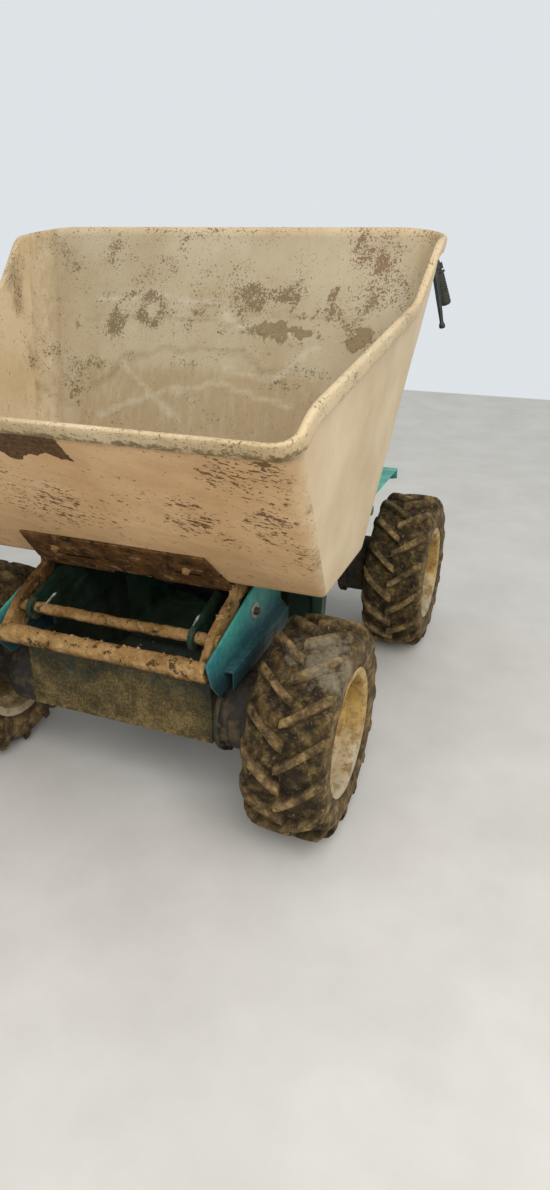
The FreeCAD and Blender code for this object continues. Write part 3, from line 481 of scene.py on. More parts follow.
def tubeMesh(name, route, radius, segments=24):
    # a round bar through route, made from a bevelled curve and closed at both ends
    curve = bpy.data.curves.new(name, "CURVE")
    curve.dimensions = "3D"
    curve.bevel_depth = radius
    curve.bevel_resolution = segments // 4
    curve.use_fill_caps = True
    spline = curve.splines.new("POLY")
    spline.points.add(len(route) - 1)
    for point, place in zip(spline.points, route):
        point.co = tuple(place) + (1,)
    return smoothed(cleaned(evaluatedMesh(curve)), 50)


def bentRoute(points, bends, steps=10):
    # straight runs joined by arcs, one radius for each inner point
    route = [points[0]]
    for before, corner, after, bend in zip(points, points[1:], points[2:], bends):
        back = (before - corner).normalized()
        ahead = (after - corner).normalized()
        half = back.angle(ahead) / 2
        centre = corner + (back + ahead).normalized() * (bend / math.sin(half))
        enter = corner + back * (bend / math.tan(half))
        out = (enter - centre).normalized()
        for n in range(steps + 1):
            turn = (math.pi - 2 * half) * n / steps
            route.append(centre + out * (bend * math.cos(turn)) - back * (bend * math.sin(turn)))
    return route + [points[-1]]


def hexHead(name, across, height, washer, place, axis):
    # a hexagon head with a rounded top on its washer; axis points away from the seat
    head, seat = across / math.sqrt(3), 2 * mm
    points, faces = [], []
    for count, rings in ((32, [(washer, 0), (washer, seat), (washer * 0.97, 2.4 * mm)]),
                         (6, [(head, seat), (head, seat + height * 0.85), (head * 0.86, seat + height)])):
        start = len(points)
        turns = [2 * math.pi * n / count for n in range(count)]
        points += [(r * math.cos(turn), r * math.sin(turn), z) for r, z in rings for turn in turns]
        ends = [range(count - 1, -1, -1), range(2 * count, 3 * count)]
        faces += [tuple(start + n for n in face) for face in ringFaces(3, count) + ends]
    mesh = meshFrom(name, points, faces)
    mesh.transform(Matrix.Translation(place) @ Vector(axis).to_track_quat("Z", "Y").to_matrix().to_4x4())
    return mesh


# Geometry Nodes: copies turned about the X axis, for lugs, studs and flange bolts, and crumbs of dried mud


def newNodeGroup(name, inputs):
    # an empty tree with its named inputs
    tree = bpy.data.node_groups.new(name, "GeometryNodeTree")
    for label, kind in inputs.items():
        tree.interface.new_socket(label, in_out="INPUT", socket_type="NodeSocket" + kind)
    tree.interface.new_socket("Geometry", in_out="OUTPUT", socket_type="NodeSocketGeometry")
    return tree, addNode(tree, "NodeGroupInput").node.outputs


def realCopies(tree, finish, placing):
    # the end of both trees: copies on points, made real and painted
    copies = addNode(tree, "GeometryNodeInstanceOnPoints", placing)
    real = addNode(tree, "GeometryNodeRealizeInstances", {0: copies})
    painted = addNode(tree, "GeometryNodeSetMaterial", {"Geometry": real, "Material": finish})
    addNode(tree, "NodeGroupOutput", {0: painted})
    return tree


def ringTree():
    tree, given = newNodeGroup("copies round an axle", {"Source": "Object", "Count": "Int", "Step": "Float",
                                                        "Start": "Float", "Finish": "Material"})
    points = addNode(tree, "GeometryNodeMeshLine", {"Count": given["Count"], "Offset": (0, 0, 0)})
    turn = reckon(tree, (addNode(tree, "GeometryNodeInputIndex"), given["Step"]), given["Start"])
    source = addNode(tree, "GeometryNodeObjectInfo", {"Object": given["Source"]}, "Geometry")
    return realCopies(tree, given["Finish"], {"Points": points, "Instance": source,
                                              "Rotation": addNode(tree, "ShaderNodeCombineXYZ", {0: turn})})


def crumbTree():
    tree, given = newNodeGroup("crumbs of mud", {"Geometry": "Geometry", "Density": "Float", "Size": "Float",
                                                 "Seed": "Int", "Finish": "Material"})
    seed = given["Seed"]
    points = addNode(tree, "GeometryNodeDistributePointsOnFaces",
                     {"Mesh": given["Geometry"], "Density": given["Density"], "Seed": seed})
    ball = addNode(tree, "GeometryNodeMeshIcoSphere", {"Radius": 1.0, "Subdivisions": 2})
    lumpy = addNode(tree, "ShaderNodeTexNoise", {"Vector": addNode(tree, "GeometryNodeInputPosition"), "Scale": 1.7,
                                                 "Detail": 3.0}, "Color")
    push = addNode(tree, "ShaderNodeVectorMath", {0: lumpy, 1: (0.5, 0.5, 0.5)}, operation="SUBTRACT")
    push = addNode(tree, "ShaderNodeVectorMath", {0: push, "Scale": 1.3}, operation="SCALE")
    clod = addNode(tree, "GeometryNodeSetPosition", {"Geometry": ball, "Offset": push})
    spin = addNode(tree, "FunctionNodeRandomValue", {0: (0, 0, 0), 1: (6.28, 6.28, 6.28), "Seed": seed},
                   data_type="FLOAT_VECTOR")
    share = addNode(tree, "FunctionNodeRandomValue", {2: 0.25, 3: 1.0, "Seed": seed}, 1, data_type="FLOAT")
    share = reckon(tree, (reckon(tree, share, 2.5, how="POWER"), given["Size"]))
    size = addNode(tree, "ShaderNodeCombineXYZ", {0: share, 1: share, 2: reckon(tree, (share, 0.75))})
    return realCopies(tree, given["Finish"], {"Points": points, "Instance": clod, "Rotation": spin, "Scale": size})


ringOfCopies, crumbs = ringTree(), crumbTree()


def copiesRound(source, count, start, slotName, direction=1):
    # count copies of a mesh evenly round the X axis; start in radians
    maker = bpy.data.objects.new("one copy", source)
    scene.collection.objects.link(maker)
    given = {"Source": maker, "Count": count, "Step": direction * 2 * math.pi / count, "Start": start,
             "Finish": finishes[slotName]}
    result = evaluatedMesh(bpy.data.meshes.new("empty"), "NODES", given, node_group=ringOfCopies)
    bpy.data.objects.remove(maker)
    return result


def crumbsOn(name, mesh, body, density, size, seed, keep=None):
    # keep(point, normal) says which faces carry crumbs
    bed = mesh.copy()
    if keep:
        shape = bmesh.new()
        shape.from_mesh(bed)
        drop = [f for f in shape.faces if not keep(f.calc_center_median(), f.normal)]
        bmesh.ops.delete(shape, geom=drop, context="FACES")
        shape.to_mesh(bed)
        shape.free()
    given = {"Density": density, "Size": size, "Seed": seed, "Finish": finishes["muddy_steel"]}
    return newPiece(name, smoothed(evaluatedMesh(bed, "NODES", given, node_group=crumbs)), None, body, "muddy_steel")


def at(x, y, z):
    # millimetres from the front axle's place on the ground
    return Vector((x, y, z)) * mm + Vector((0, axleY, 0))


def lineDistance(point, line):
    best = 1e9
    for start, end in zip(line, line[1:]):
        start = Vector(start)
        along = Vector(end) - start
        share = max(0.0, min(1.0, (point - start).dot(along) / along.length_squared))
        best = min(best, (point - start - along * share).length)
    return best


def fade(value, full, none):
    # 1 at full, 0 at none
    share = max(0.0, min(1.0, (value - none) / (full - none)))
    return share * share * (3 - 2 * share)


def setAttribute(mesh, name, values):
    mesh.attributes.new(name, "FLOAT", "POINT").data.foreach_set("value", values)


# Tub: one moulded shell with a rolled lip, drawn as rings of the same columns

tub = {"floorZ": 660, "floorFront": -2, "floorRear": 385, "floorHalf": 540, "wall": 9, "frontY": -446,
       "frontZ": 1153, "sideZ": 1330, "backY": 650, "backZ": 1492, "topHalf": 656, "frontCornerFloor": 16,
       "frontCornerRim": 50, "rearCorner": 70, "floorRound": 22, "lipDepth": 39, "frontColumns": 84,
       "sideColumns": 72, "cornerColumns": 12, "wallRows": 50, "roundRows": 6, "wave": 2.2, "cornerDrop": 9,
       # the lip from the wall outside, over the top and down inside: (outwards, down from the rim)
       "lip": [(0.8, 40.4), (3.5, 39.5), (7.2, 39), (9, 37), (9.7, 32), (10, 24), (9.9, 14), (9.2, 7), (7.4, 3),
               (4.6, 0.8), (1, 0), (-3, 0.2), (-6.4, 1.8), (-8.5, 5), (-9, 10)]}


def rimLine():
    y, z = tub["frontY"], tub["frontZ"]
    rear, high = tub["backY"], tub["backZ"]
    turns = [(y - 250, z), (y - 2, z), (y + 74, z + 52), (rear - 255, tub["sideZ"] - 6), (rear - 112, high - 22),
             (rear + 10, high), (rear + 250, high)]
    route = bentRoute([Vector((0, a, b)) for a, b in turns], [40, 150, 110, 110, 60], 16)
    return [(p.y, p.z) for p in route]


rimPoints = rimLine()
plateLean = math.atan2(tub["frontZ"] - tub["floorZ"], tub["floorFront"] - tub["frontY"])


def rimHeight(y):
    for (y0, z0), (y1, z1) in zip(rimPoints, rimPoints[1:]):
        if y <= y1:
            return z0 + (z1 - z0) * (y - y0) / max(y1 - y0, 1e-6)
    return rimPoints[-1][1]


def tubColumns():
    # the corner or side that each column stands on, and its share along it
    corner, long, side = tub["cornerColumns"], tub["frontColumns"], tub["sideColumns"]
    counts = {"front": long, "frontLeft": corner, "left": side, "rearLeft": corner, "back": long,
              "rearRight": corner, "right": side, "frontRight": corner}
    return [(part, n / count) for part, count in counts.items() for n in range(count)]


def tubPoint(column, height, outward):
    part, share = column
    rise = height - tub["floorZ"]
    tall, frontTall = tub["backZ"] - tub["floorZ"], tub["frontZ"] - tub["floorZ"]
    frontLean = (tub["frontY"] - tub["floorFront"]) / frontTall
    backLean = (tub["backY"] - tub["floorRear"]) / tall
    flare = (tub["topHalf"] - tub["floorHalf"]) / tall
    growth = (tub["frontCornerRim"] - tub["frontCornerFloor"]) / frontTall
    front = tub["floorFront"] + frontLean * rise - outward * math.hypot(1, frontLean)
    back = tub["floorRear"] + backLean * rise + outward * math.hypot(1, backLean)
    half = tub["floorHalf"] + flare * rise + outward * math.hypot(1, flare)
    near = max(tub["frontCornerFloor"] + growth * rise + outward, 4.5)
    far = max(tub["rearCorner"] + outward, 4.5)
    straight = {"front": ((half - near) * (2 * share - 1), front), "back": ((half - far) * (1 - 2 * share), back),
                "left": (half, front + near + (back - far - front - near) * share),
                "right": (-half, back - far + (front + near - back + far) * share)}
    if part in straight:
        return Vector((*straight[part], height))
    x, y, radius, start = {"frontLeft": (half - near, front + near, near, -90),
                           "rearLeft": (half - far, back - far, far, 0),
                           "rearRight": (far - half, back - far, far, 90),
                           "frontRight": (near - half, front + near, near, 180)}[part]
    turn = math.radians(start + 90 * share)
    return Vector((x + radius * math.cos(turn), y + radius * math.sin(turn), height))


def cornerDrop(point):
    # the rim's rear corners are rounded off a little
    rear, side = tub["backY"] - point.y, tub["topHalf"] - abs(point.x)
    return tub["cornerDrop"] * fade(rear, 70, 140) * fade(side, 0, 140)


def columnTop(column):
    low, high = 1100.0, 1540.0
    for n in range(40):
        middle = (low + high) / 2
        point = tubPoint(column, middle, 0)
        if rimHeight(point.y) - cornerDrop(point) > middle:
            low = middle
        else:
            high = middle
    return low


# marks on the plastic, in millimetres: (across, up) on the front and back walls, (along, up) on the right side
marks = {
    "tide": [(-596, 1038), (-483, 966), (-355, 1063), (-299, 1120), (-176, 1152), (103, 1160), (165, 1112), (252, 1122)],
    "tideHigh": [(-440, 1228), (-127, 1240), (49, 1232), (120, 1262), (459, 1258)],
    "scrapes": [[(-370, 952), (-172, 1021), (12, 1070), (189, 1025), (265, 1020)],
                [(-300, 1110), (-180, 1020), (-90, 960)],
                [(-440, 1275), (-180, 1300), (10, 1285), (80, 1230), (280, 1200)],
                [(40, 1100), (200, 1095), (330, 1180)]],
    # middle, half width, half height, strength
    "clusters": [(-385, 1406, 95, 55, 1.0), (-130, 1458, 85, 22, 0.9), (443, 1416, 75, 22, 1.1), (150, 1313, 75, 42, 1.2),
                 (-253, 1260, 140, 32, 1.3), (-40, 1239, 100, 16, 1.3), (300, 1278, 175, 18, 1.3), (218, 1100, 50, 28, 1.0),
                 (503, 1345, 85, 50, 0.9), (-476, 1030, 60, 40, 0.8), (-538, 1407, 45, 30, 0.8), (-60, 1345, 260, 40, 0.35)],
    "patches": [(203, 1208, 125, 30, 1.15), (447, 1215, 58, 46, 1.2), (-471, 1217, 40, 18, 0.8), (-30, 1172, 90, 12, 0.6),
                (-476, 998, 50, 26, 0.7)],
    "sidePatches": [(465, 1340, 45, 80, 1.1), (480, 1110, 60, 70, 0.7), (560, 1000, 50, 50, 0.8), (450, 1190, 30, 25, 0.6)],
    "throws": [(313, 925, 90, 60, 1.2), (492, 1057, 80, 50, 1.2), (495, 930, 70, 60, 1.3), (-96, 880, 120, 50, 0.9),
               (-80, 950, 160, 60, 0.8), (94, 904, 90, 50, 0.5), (426, 1109, 110, 22, 1.0), (535, 880, 40, 120, 0.8)],
    # the wet part of the back wall (from, to, below), the torn patch (its end, its lower edge)
    "film": (-427, 330, 1092), "frontPatch": (118, 1052),
    # slots in the mount plate: across, up the slope, length, width
    "slots": [(-134, 48, 90, 8), (188, 51, 72, 8)], "seed": 4}
noise.seed_set(marks["seed"])  # noise_vector starts from it


def stray(spot, amount):
    # the spot pushed about by noise, so that marks have no drawn outline
    push = noise.noise_vector(Vector((spot.x, 7.0, spot.y)) * 0.011)
    push += 0.5 * noise.noise_vector(Vector((spot.x, 3.0, spot.y)) * 0.03)
    return spot + Vector((push.x, push.z)) * amount


def blobs(spot, rows, full=0.55, none=1.45):
    return max(strength * fade(math.hypot((spot.x - x) / wide, (spot.y - z) / high), full, none)
               for x, z, wide, high, strength in rows)


def frontMarks(mark, p, below, onLip):
    end, bottom = marks["frontPatch"]
    spot = Vector((p.x, p.z))
    torn = stray(spot, 34)
    patch = fade(torn.x, end - 40, end + 22) * fade(torn.y + 0.16 * max(0, torn.x), bottom + 26, bottom - 6)
    mark["mud"] = patch * (fade(below, 44, 30) if below < 60 else 1)
    climb = (p.z - tub["floorZ"]) / math.sin(plateLean)
    if any(abs(p.x - x) < length / 2 + 8 and abs(climb - s) < 18 for x, s, length, width in marks["slots"]):
        mark["shade"] = 1.0
    mark["film"] = 0.35 + 0.5 * fade(p.z, 760, 900)
    mark["cluster"] = 0.3 if onLip else 0.85 * blobs(stray(spot, 80), marks["throws"])


def backMarks(mark, p, part):
    low, high, ceiling = marks["film"]
    spot = Vector((p.x, p.z))
    wet = fade(p.x, low, low - 60) * fade(p.x, high, high + 60) * fade(p.z, ceiling - 20, ceiling + 40)
    # painted shade: the rear inner corners get a film of 0.75 that darkens them
    mark["film"] = max(0.15 + 0.85 * wet, 0.0 if part == "back" else 0.75)
    near = stray(spot, 14)
    mark["tide"] = max(0.8 * fade(lineDistance(near, marks["tide"]), 0, 28),
                       0.7 * fade(lineDistance(near, marks["tideHigh"]), 0, 26))
    mark["scrape"] = 0.8 * max(fade(lineDistance(near, line), 0, 23) for line in marks["scrapes"])
    mark["cluster"] = max(mark["cluster"], 0.95 * blobs(stray(spot, 95), marks["clusters"], 0.1, 1.6))
    mark["patch"] = blobs(stray(spot, 38), marks["patches"], 0.3, 1.5)


def rightMarks(mark, p):
    stain = blobs(stray(Vector((p.y, p.z)), 50), marks["sidePatches"])
    mark["patch"] = max(mark["patch"], 0.6 * stain)
    mark["film"] = max(mark["film"], 0.05 + 1.0 * stain)
    mark["cluster"] = max(mark["cluster"], 0.5 * stain)


def marksAt(column, p, below, inner, onLip):
    # the point attributes that the plastic's finish reads
    part, share = column
    mark = dict.fromkeys(tubMarks, 0.0)
    mark["inside"] = inner
    mark["lip"] = 1.0 if onLip else 0.0
    if not inner and not onLip:
        mark["front"] = {"front": 1.0, "frontLeft": 1.0 - share, "frontRight": share}.get(part, 0.0)
    # painted light on the inner side walls, fading out round the rear corners
    mark["paintedSideLight"] = inner * {"right": 1.0, "left": 1.0, "rearRight": share, "rearLeft": 1.0 - share}.get(part, 0.0)
    isFront = not inner and part in ("front", "frontLeft", "frontRight")
    if not inner:
        mark["olive"] = fade(abs(below - 33), 3, 20) * (1.0 if isFront else 0.5)
        # painted shade: a dark line just under the lip's lower edge, drawn with the tide tone
        mark["tide"] = 0.85 * fade(abs(below - 44), 2, 12)
    mark["cluster"] = 0.3 if onLip else 0.05 if inner else -0.8
    if isFront:
        frontMarks(mark, p, below, onLip)
    if inner and part in ("back", "rearLeft", "rearRight"):
        backMarks(mark, p, part)
    if inner and part in ("right", "rearRight"):
        rightMarks(mark, p)
    return mark


def tubRows(tops):
    # per row: outward shift, height at each column, inside or not, on the lip or not
    base, wall, turn, steps = tub["floorZ"], tub["wall"], tub["floorRound"], tub["roundRows"]
    flat, innerTurn = [1] * len(tops), turn - wall
    rows = []

    def roundRow(a, inset, radius, inner):
        height = base + inset + radius * (1 - math.cos(a))
        rows.append((-inset - radius * (1 - math.sin(a)), [height * one for one in flat], inner, 0))

    for n in range(steps):
        roundRow(math.pi / 2 * n / steps, 0, turn, 0)
    for n in range(tub["wallRows"] + 1):
        share = n / tub["wallRows"]
        rows.append((0, [base + turn + (top - tub["lipDepth"] - 3 - base - turn) * share for top in tops], 0, 0))
    for out, drop in tub["lip"]:
        rows.append((out, [top - drop for top in tops], 0 if out > -3 else 1, 1))
    floor = base + wall + innerTurn
    for n in range(1, tub["wallRows"] + 1):
        rows.append((-wall, [floor + (top - 10 - floor) * (1 - n / tub["wallRows"]) for top in tops], 1, 0))
    for n in range(1, steps + 1):
        roundRow(math.pi / 2 * (1 - n / steps), wall, innerTurn, 1)
    return rows


def makeTub():
    columns = tubColumns()
    tops = [columnTop(column) for column in columns]
    rows = tubRows(tops)
    points = []
    values = {name: [] for name in tubMarks}
    for outward, heights, inner, onLip in rows:
        for column, top, height in zip(columns, tops, heights):
            p = tubPoint(column, height, outward)
            below = top - height
            # slight waviness of the walls, none at the lip and the floor
            sway = noise.noise(p * 0.004) * tub["wave"] + noise.noise(p * 0.013) * 0.6
            away = (p - Vector((0, 60, height))).normalized()
            p += away * sway * fade(below, 90, 40) * fade(height, 740, 690)
            points.append(at(*p))
            for name, value in marksAt(column, p, below, inner, onLip).items():
                values[name].append(value)
    total = len(columns)
    faces = ringFaces(len(rows), total)
    faces += [tuple(range(total - 1, -1, -1)), tuple(range((len(rows) - 1) * total, len(rows) * total))]
    mesh = bpy.data.meshes.new("skip")
    mesh.from_pydata([tuple(p) for p in points], [], faces)
    for face in mesh.polygons:
        face.use_smooth = len(face.vertices) == 4
    for name in tubMarks:
        setAttribute(mesh, name, values[name])
    return newPiece("skip", mesh, "skip_tub")


print("tub", len(makeTub().data.polygons))

# Tyres: rounded carcass with mud between chevron lugs

tyre = {"radius": 292, "lugs": 16, "lugBase": 42, "lugTop": 25, "sweep": 17, "start": 10, "packing": 4,
        "segments": 144}


def makeLug():
    # one lug of the left half, in millimetres from the wheel's middle
    crown = tyre["radius"] - 24
    stations = [(-8, crown - 16, 291, 0.0, 0.85), (8, crown - 16, 292, 0.1, 0.92), (34, crown - 17, 291.5, 0.34, 0.96),
                (60, crown - 19, 290.5, 0.6, 1.0), (80, crown - 21, 288.5, 0.8, 1.03), (91, crown - 30, 281, 0.92, 1.06),
                (101, crown - 42, 269, 1.02, 1.08), (107.5, crown - 52, 252, 1.1, 1.1)]
    points = []
    for x, root, tip, share, wide in stations:
        middle = math.radians(tyre["start"] + tyre["sweep"] * share)
        base = tyre["lugBase"] * wide / 2 / tyre["radius"]
        top = tyre["lugTop"] * wide / 2 / tyre["radius"]
        for level, half in ((0, 1.0), (0.55, 0.5), (0.86, 0.12), (0.97, -0.06), (1.0, -0.30), (1.0, 0.0)):
            spread = top + (base - top) * half if level < 1 else top * (0.62 if half < 0 else 0.0)
            radius = root + (tip - root) * level
            for side in ((-1, 1) if spread > 0 else (0,)):
                angle = middle + side * spread
                points.append(Vector((x, -radius * math.cos(angle), radius * math.sin(angle))) * mm)
    per = len(points) // len(stations)
    order = [0, 2, 4, 6, 8, 10, 9, 7, 5, 3, 1]
    faces = []
    for n in range(len(stations) - 1):
        for a, b in zip(order, order[1:] + order[:1]):
            faces.append((n * per + a, n * per + b, (n + 1) * per + b, (n + 1) * per + a))
    faces.append(tuple(order[::-1]))
    faces.append(tuple((len(stations) - 1) * per + n for n in order))
    return smoothed(meshFrom("lug", points, faces), 50)


def makeTyre(node, seed):
    centre = middleOf(node)
    half = [(93, 153.3), (96, 160), (99, 172), (103, 186), (105.5, 196), (107.6, 200), (107.6, 204), (106.4, 208),
            (107.4, 216), (107.4, 226), (105.6, 238), (101, 249), (94, 256.5), (84, 261), (66, 264), (44, 266),
            (20, 267), (0, 267.3)]
    profile = [(-x, r) for x, r in half] + half[-2::-1]
    profile = [(-90, 153.3)] + profile + [(90, 153.3), (-90, 153.3)]
    carcass = turnedMesh("carcass", profile, tyre["segments"])
    shift = Vector((seed, 0, seed * 2))
    for vertex in carcass.vertices:
        radius = math.hypot(vertex.co.y, vertex.co.z)
        if radius > 0.18:
            tread = fade(radius, 0.262, 0.235)
            lump = noise.fractal(vertex.co * 26 + shift, 0.9, 2.1, 4)
            swell = tread * tyre["packing"] * mm * max(0.0, 0.2 + lump) + 1.2 * mm * lump * (1 - tread)
            vertex.co.y *= 1 + swell / radius
            vertex.co.z *= 1 + swell / radius
    lug = makeLug()
    left = copiesRound(lug, tyre["lugs"], 0.0, "tyre", -1)
    right = copiesRound(moved(lug, mirror), tyre["lugs"], -math.pi / tyre["lugs"], "tyre", -1)
    whole = joined("tyre", [carcass, left, right])
    groove = []
    dust = []
    for vertex in whole.vertices:
        radius = math.hypot(vertex.co.y, vertex.co.z)
        groove.append(fade(radius, 0.268, 0.287) * fade(abs(vertex.co.x), 0.096, 0.108))
        wear = noise.noise(vertex.co * 9 + shift)
        vertex.co += vertex.co.normalized() * 0.8 * mm * wear
        # painted reflection, partly dust: a grey patch at the front left tyre's top
        dustAndSheen = fade((vertex.co - Vector((0.05, -0.09, 0.26))).length, 0.04, 0.16)
        dust.append(dustAndSheen if node == "tyre_front_left" else 0.25 * fade(vertex.co.z, 0.25, 0.1))
    whole.transform(Matrix.Translation(centre))
    setAttribute(whole, "groove", groove)
    setAttribute(whole, "dust", dust)
    newPiece(node.replace("tyre_", "tyreWorn_"), whole, node)


places = ("front_left", "front_right", "rear_left", "rear_right")
for number, place in enumerate(places):
    makeTyre("tyre_" + place, 3.1 * number)
print("tyres done")

# Rims: pressed disc and well with studs and nuts, seen from outside and inside

rim = {"studs": 5, "studCircle": 68, "nutAcross": 19}


def makeRim(place):
    side = 1 if "left" in place else -1
    centre = middleOf("tyre_" + place)
    outline = [(-101, 172), (-99, 175), (-96, 174), (-93, 168), (-90.5, 156), (-88, 153), (88, 153), (90.5, 156), (93, 168),
               (96, 174), (99, 175), (101, 172), (100.5, 166), (98, 158), (96, 151), (90, 148.4), (50, 148.2), (38, 134),
               (32, 128.4), (-40, 128.4), (-46, 134), (-58, 148.2), (-90, 148.4), (-96, 151), (-98, 158), (-100.5, 166),
               (-101, 172)]
    ring = turnedMesh("barrel", outline, 96)
    disc = [(-4, 0), (-4, 84), (-2.5, 90), (3, 97), (12, 104), (16, 110), (18, 118), (18, 124), (17, 129.5), (24, 129.5),
            (24, 122), (22.5, 113), (17, 104), (8, 96), (3.5, 90), (2, 84), (2, 60), (5, 56), (7, 50), (7.5, 46),
            (20, 45), (22.5, 43), (23.6, 38), (24, 0)]
    plate = turnedMesh("disc", disc, 96)
    nut = hexHead("nut", rim["nutAcross"] * mm, 11 * mm, 14 * mm, Vector((2, 0, rim["studCircle"])) * mm, (1, 0, 0))
    nuts = copiesRound(nut, rim["studs"], 0.3, "rim_paint")
    foot, end = [Vector((x, 0, rim["studCircle"])) * mm for x in (2, 24)]
    stud = tubeMesh("stud", [foot, end], 6 * mm, 16)
    studs = copiesRound(stud, rim["studs"], 0.3, "rim_paint")
    whole = joined("rim", [ring, plate, nuts, studs])
    groove = [fade(math.hypot(v.co.y, v.co.z), 0.12, 0.16) for v in whole.vertices]
    if side < 0:
        whole = moved(whole, mirror)
    whole.transform(Matrix.Translation(centre))
    setAttribute(whole, "groove", groove)
    whole.set_sharp_from_angle(angle=math.radians(40))
    newPiece("rimPressed_" + place, whole, "rim_" + place)


for place in places:
    makeRim(place)
print("rims done")

# Wheel motors: flanged gear cases bolted to the frame's sides

motor = {"bolts": 10, "boltCircle": 114}


def makeMotor(place):
    node = "wheel_motor_" + place
    low, high = boxOf(node)
    centre = (low + high) / 2
    side = 1 if "left" in place else -1
    length = (high.x - low.x) / mm
    outline = [(0, 0), (0, 119), (1.5, 120), (12, 120), (14, 118.5), (14.5, 110), (16, 108), (34, 108), (36, 105.5),
               (40, 105.5), (42, 108), (94, 108), (100, 104), (106, 96), (112, 92), (113, 82), (116, 80), (length - 26, 74),
               (length - 14, 71), (length - 12, 68), (length - 1, 67), (length, 65), (length, 0)]
    case = turnedMesh("case", outline, 72)
    bolt = hexHead("bolt", 10 * mm, 6 * mm, 6.5 * mm, Vector((14, 0, motor["boltCircle"])) * mm, (1, 0, 0))
    bolts = copiesRound(bolt, motor["bolts"], 0.2, "motor_case")
    whole = joined("motor", [case, bolts])
    start = low.x if side > 0 else high.x
    if side < 0:
        whole = moved(whole, mirror)
    whole.transform(Matrix.Translation((start, centre.y, centre.z)))
    whole.set_sharp_from_angle(angle=math.radians(40))
    newPiece("gearCase_" + place, whole, node)


for place in places:
    makeMotor(place)
print("motors done")

# Frame, plates and bodywork: folded sheet with softened edges

sheetwork = {"main_frame": 2.5, "side_plates": 2.0, "pivot_rails": 2.0, "rear_deck": 2.2, "rest_posts": 2.0,
             "rest_pads": 2.5, "bonnet": 3.0, "bonnet_knuckles": 0.8, "deck_knuckles": 0.8, "bonnet_latch": 1.2, "bumper_stays": 1.5,
             "tow_clevis": 2.0, "console": 4.0, "ram_base": 1.2, "battery_pack": 4.0, "ram_eye_lugs": 1.2}
for node, width in sheetwork.items():
    mesh = evaluatedMesh(nodeMesh(node), "BEVEL", width=width * mm, segments=2, limit_method="ANGLE",
                         angle_limit=math.radians(28), use_clamp_overlap=True)
    newPiece("soft_" + node, smoothed(mesh, 35), node)
print("sheet work done")

# Tipping frame: arms, tube, shaft, cradle and plate caked with clay

# voxel, height and density of the lumps, how dark the soil is
clay = {"tip_front_tube": (3.0, 6.0, 20, 0.0), "pivot_shaft": (2.6, 2.6, 32, 0.25), "tip_arms": (3.2, 2.4, 24, 0.15),
        "skip_cradle": (6.0, 2.0, 14, 0.7), "skip_mount_plate": (2.6, 1.2, 22, 0.9)}


plateUp = Vector((0, -math.cos(plateLean), math.sin(plateLean)))
plateOut = Vector((0, -math.sin(plateLean), -math.cos(plateLean)))


def onPlate(x, s, out=7.3):
    # a place on the sloping plate: x across, s up from the tub's bottom edge, millimetres
    return at(x, tub["floorFront"], tub["floorZ"]) + (plateUp * s + plateOut * out) * mm


def slotCutter(x, s, length, width, depth=30):
    points = []
    for level in (-depth / 2, depth / 2):
        for n in range(20):
            turn = 2 * math.pi * n / 20
            end = (length / 2 - width / 2) * (1 if math.cos(turn) > 0 else -1)
            points.append(onPlate(x + end + width / 2 * math.cos(turn), s + width / 2 * math.sin(turn), 3.5 + level))
    return meshFrom("slot", points, [tuple(range(19, -1, -1)), tuple(range(20, 40))] + ringFaces(2, 20))


plateBolts = [(-191, 86), (192, 73)]
tubeMiddle = middleOf("tip_front_tube")


def inSlot(node, point):
    climb = (point - onPlate(0, 0, 0)).dot(plateUp) / mm
    return node == "skip_mount_plate" and any(
        abs(point.x / mm - x) < length / 2 + 0.5 and abs(climb - s) < width / 2 + 1
        for x, s, length, width in marks["slots"])


def shadedArm(node, point):
    # painted shade: the right arm is darker but for its end at the tube
    if node != "tip_arms" or point.x > 0:
        return 0.0
    return 0.75 * fade(math.hypot(point.y - tubeMiddle.y, point.z - tubeMiddle.z), 0.13, 0.05)


def thickEnds(point):
    return 0.4 + 0.8 * fade(point.x, 0.3, 0.12) + 0.4 * fade(point.x, -0.32, -0.2)


for node, (voxel, amount, density, soil) in clay.items():
    mesh = nodeMesh(node)
    if node == "skip_mount_plate":
        cutter = bpy.data.objects.new("slots", joined("slots", [slotCutter(*row) for row in marks["slots"]]))
        scene.collection.objects.link(cutter)
        mesh = evaluatedMesh(mesh, "BOOLEAN", object=cutter, operation="DIFFERENCE", solver="EXACT")
        bpy.data.objects.remove(cutter)
    where = thickEnds if node == "tip_front_tube" else None
    mesh = caked(mesh, voxel * mm, amount * mm, density, len(node), where)
    # soil: the node's own dark clay, plus painted shade on faces turned down and on the right arm
    soilAndShade = [min(1.0, soil + 0.75 * fade(v.normal.z, -0.7, 0.1) + shadedArm(node, v.co)) for v in mesh.vertices]
    # painted shade: 2 makes the slots' insides black
    setAttribute(mesh, "soil", [2.0 if inSlot(node, v.co) else share for v, share in zip(mesh.vertices, soilAndShade)])
    newPiece("caked_" + node, mesh, node)
bolts = [hexHead("plate bolt", 18 * mm, 9 * mm, 13 * mm, onPlate(x, s), plateOut) for x, s in plateBolts]
boltMesh = caked(joined("bolts", bolts), 1.5 * mm, 0.7 * mm, 60, 4)
setAttribute(boltMesh, "soil", [0.45] * len(boltMesh.vertices))
newPiece("plateBolts", boltMesh, None, "skip", "muddy_steel")
print("tipping frame done")

# Handlebar: one bent bar with rubber grips and hanging brake levers

bars = {"barY": 1165, "barZ": 1418, "half": 520, "radius": 14, "bend": 45, "droop": 70, "gripStart": 60,
        "gripLength": 106, "uprightX": 205, "uprightRadius": 17, "bendZ": 832, "uprightBend": 160}
droop = math.radians(bars["droop"])
gripLine = Vector((math.cos(droop), 0, -math.sin(droop)))


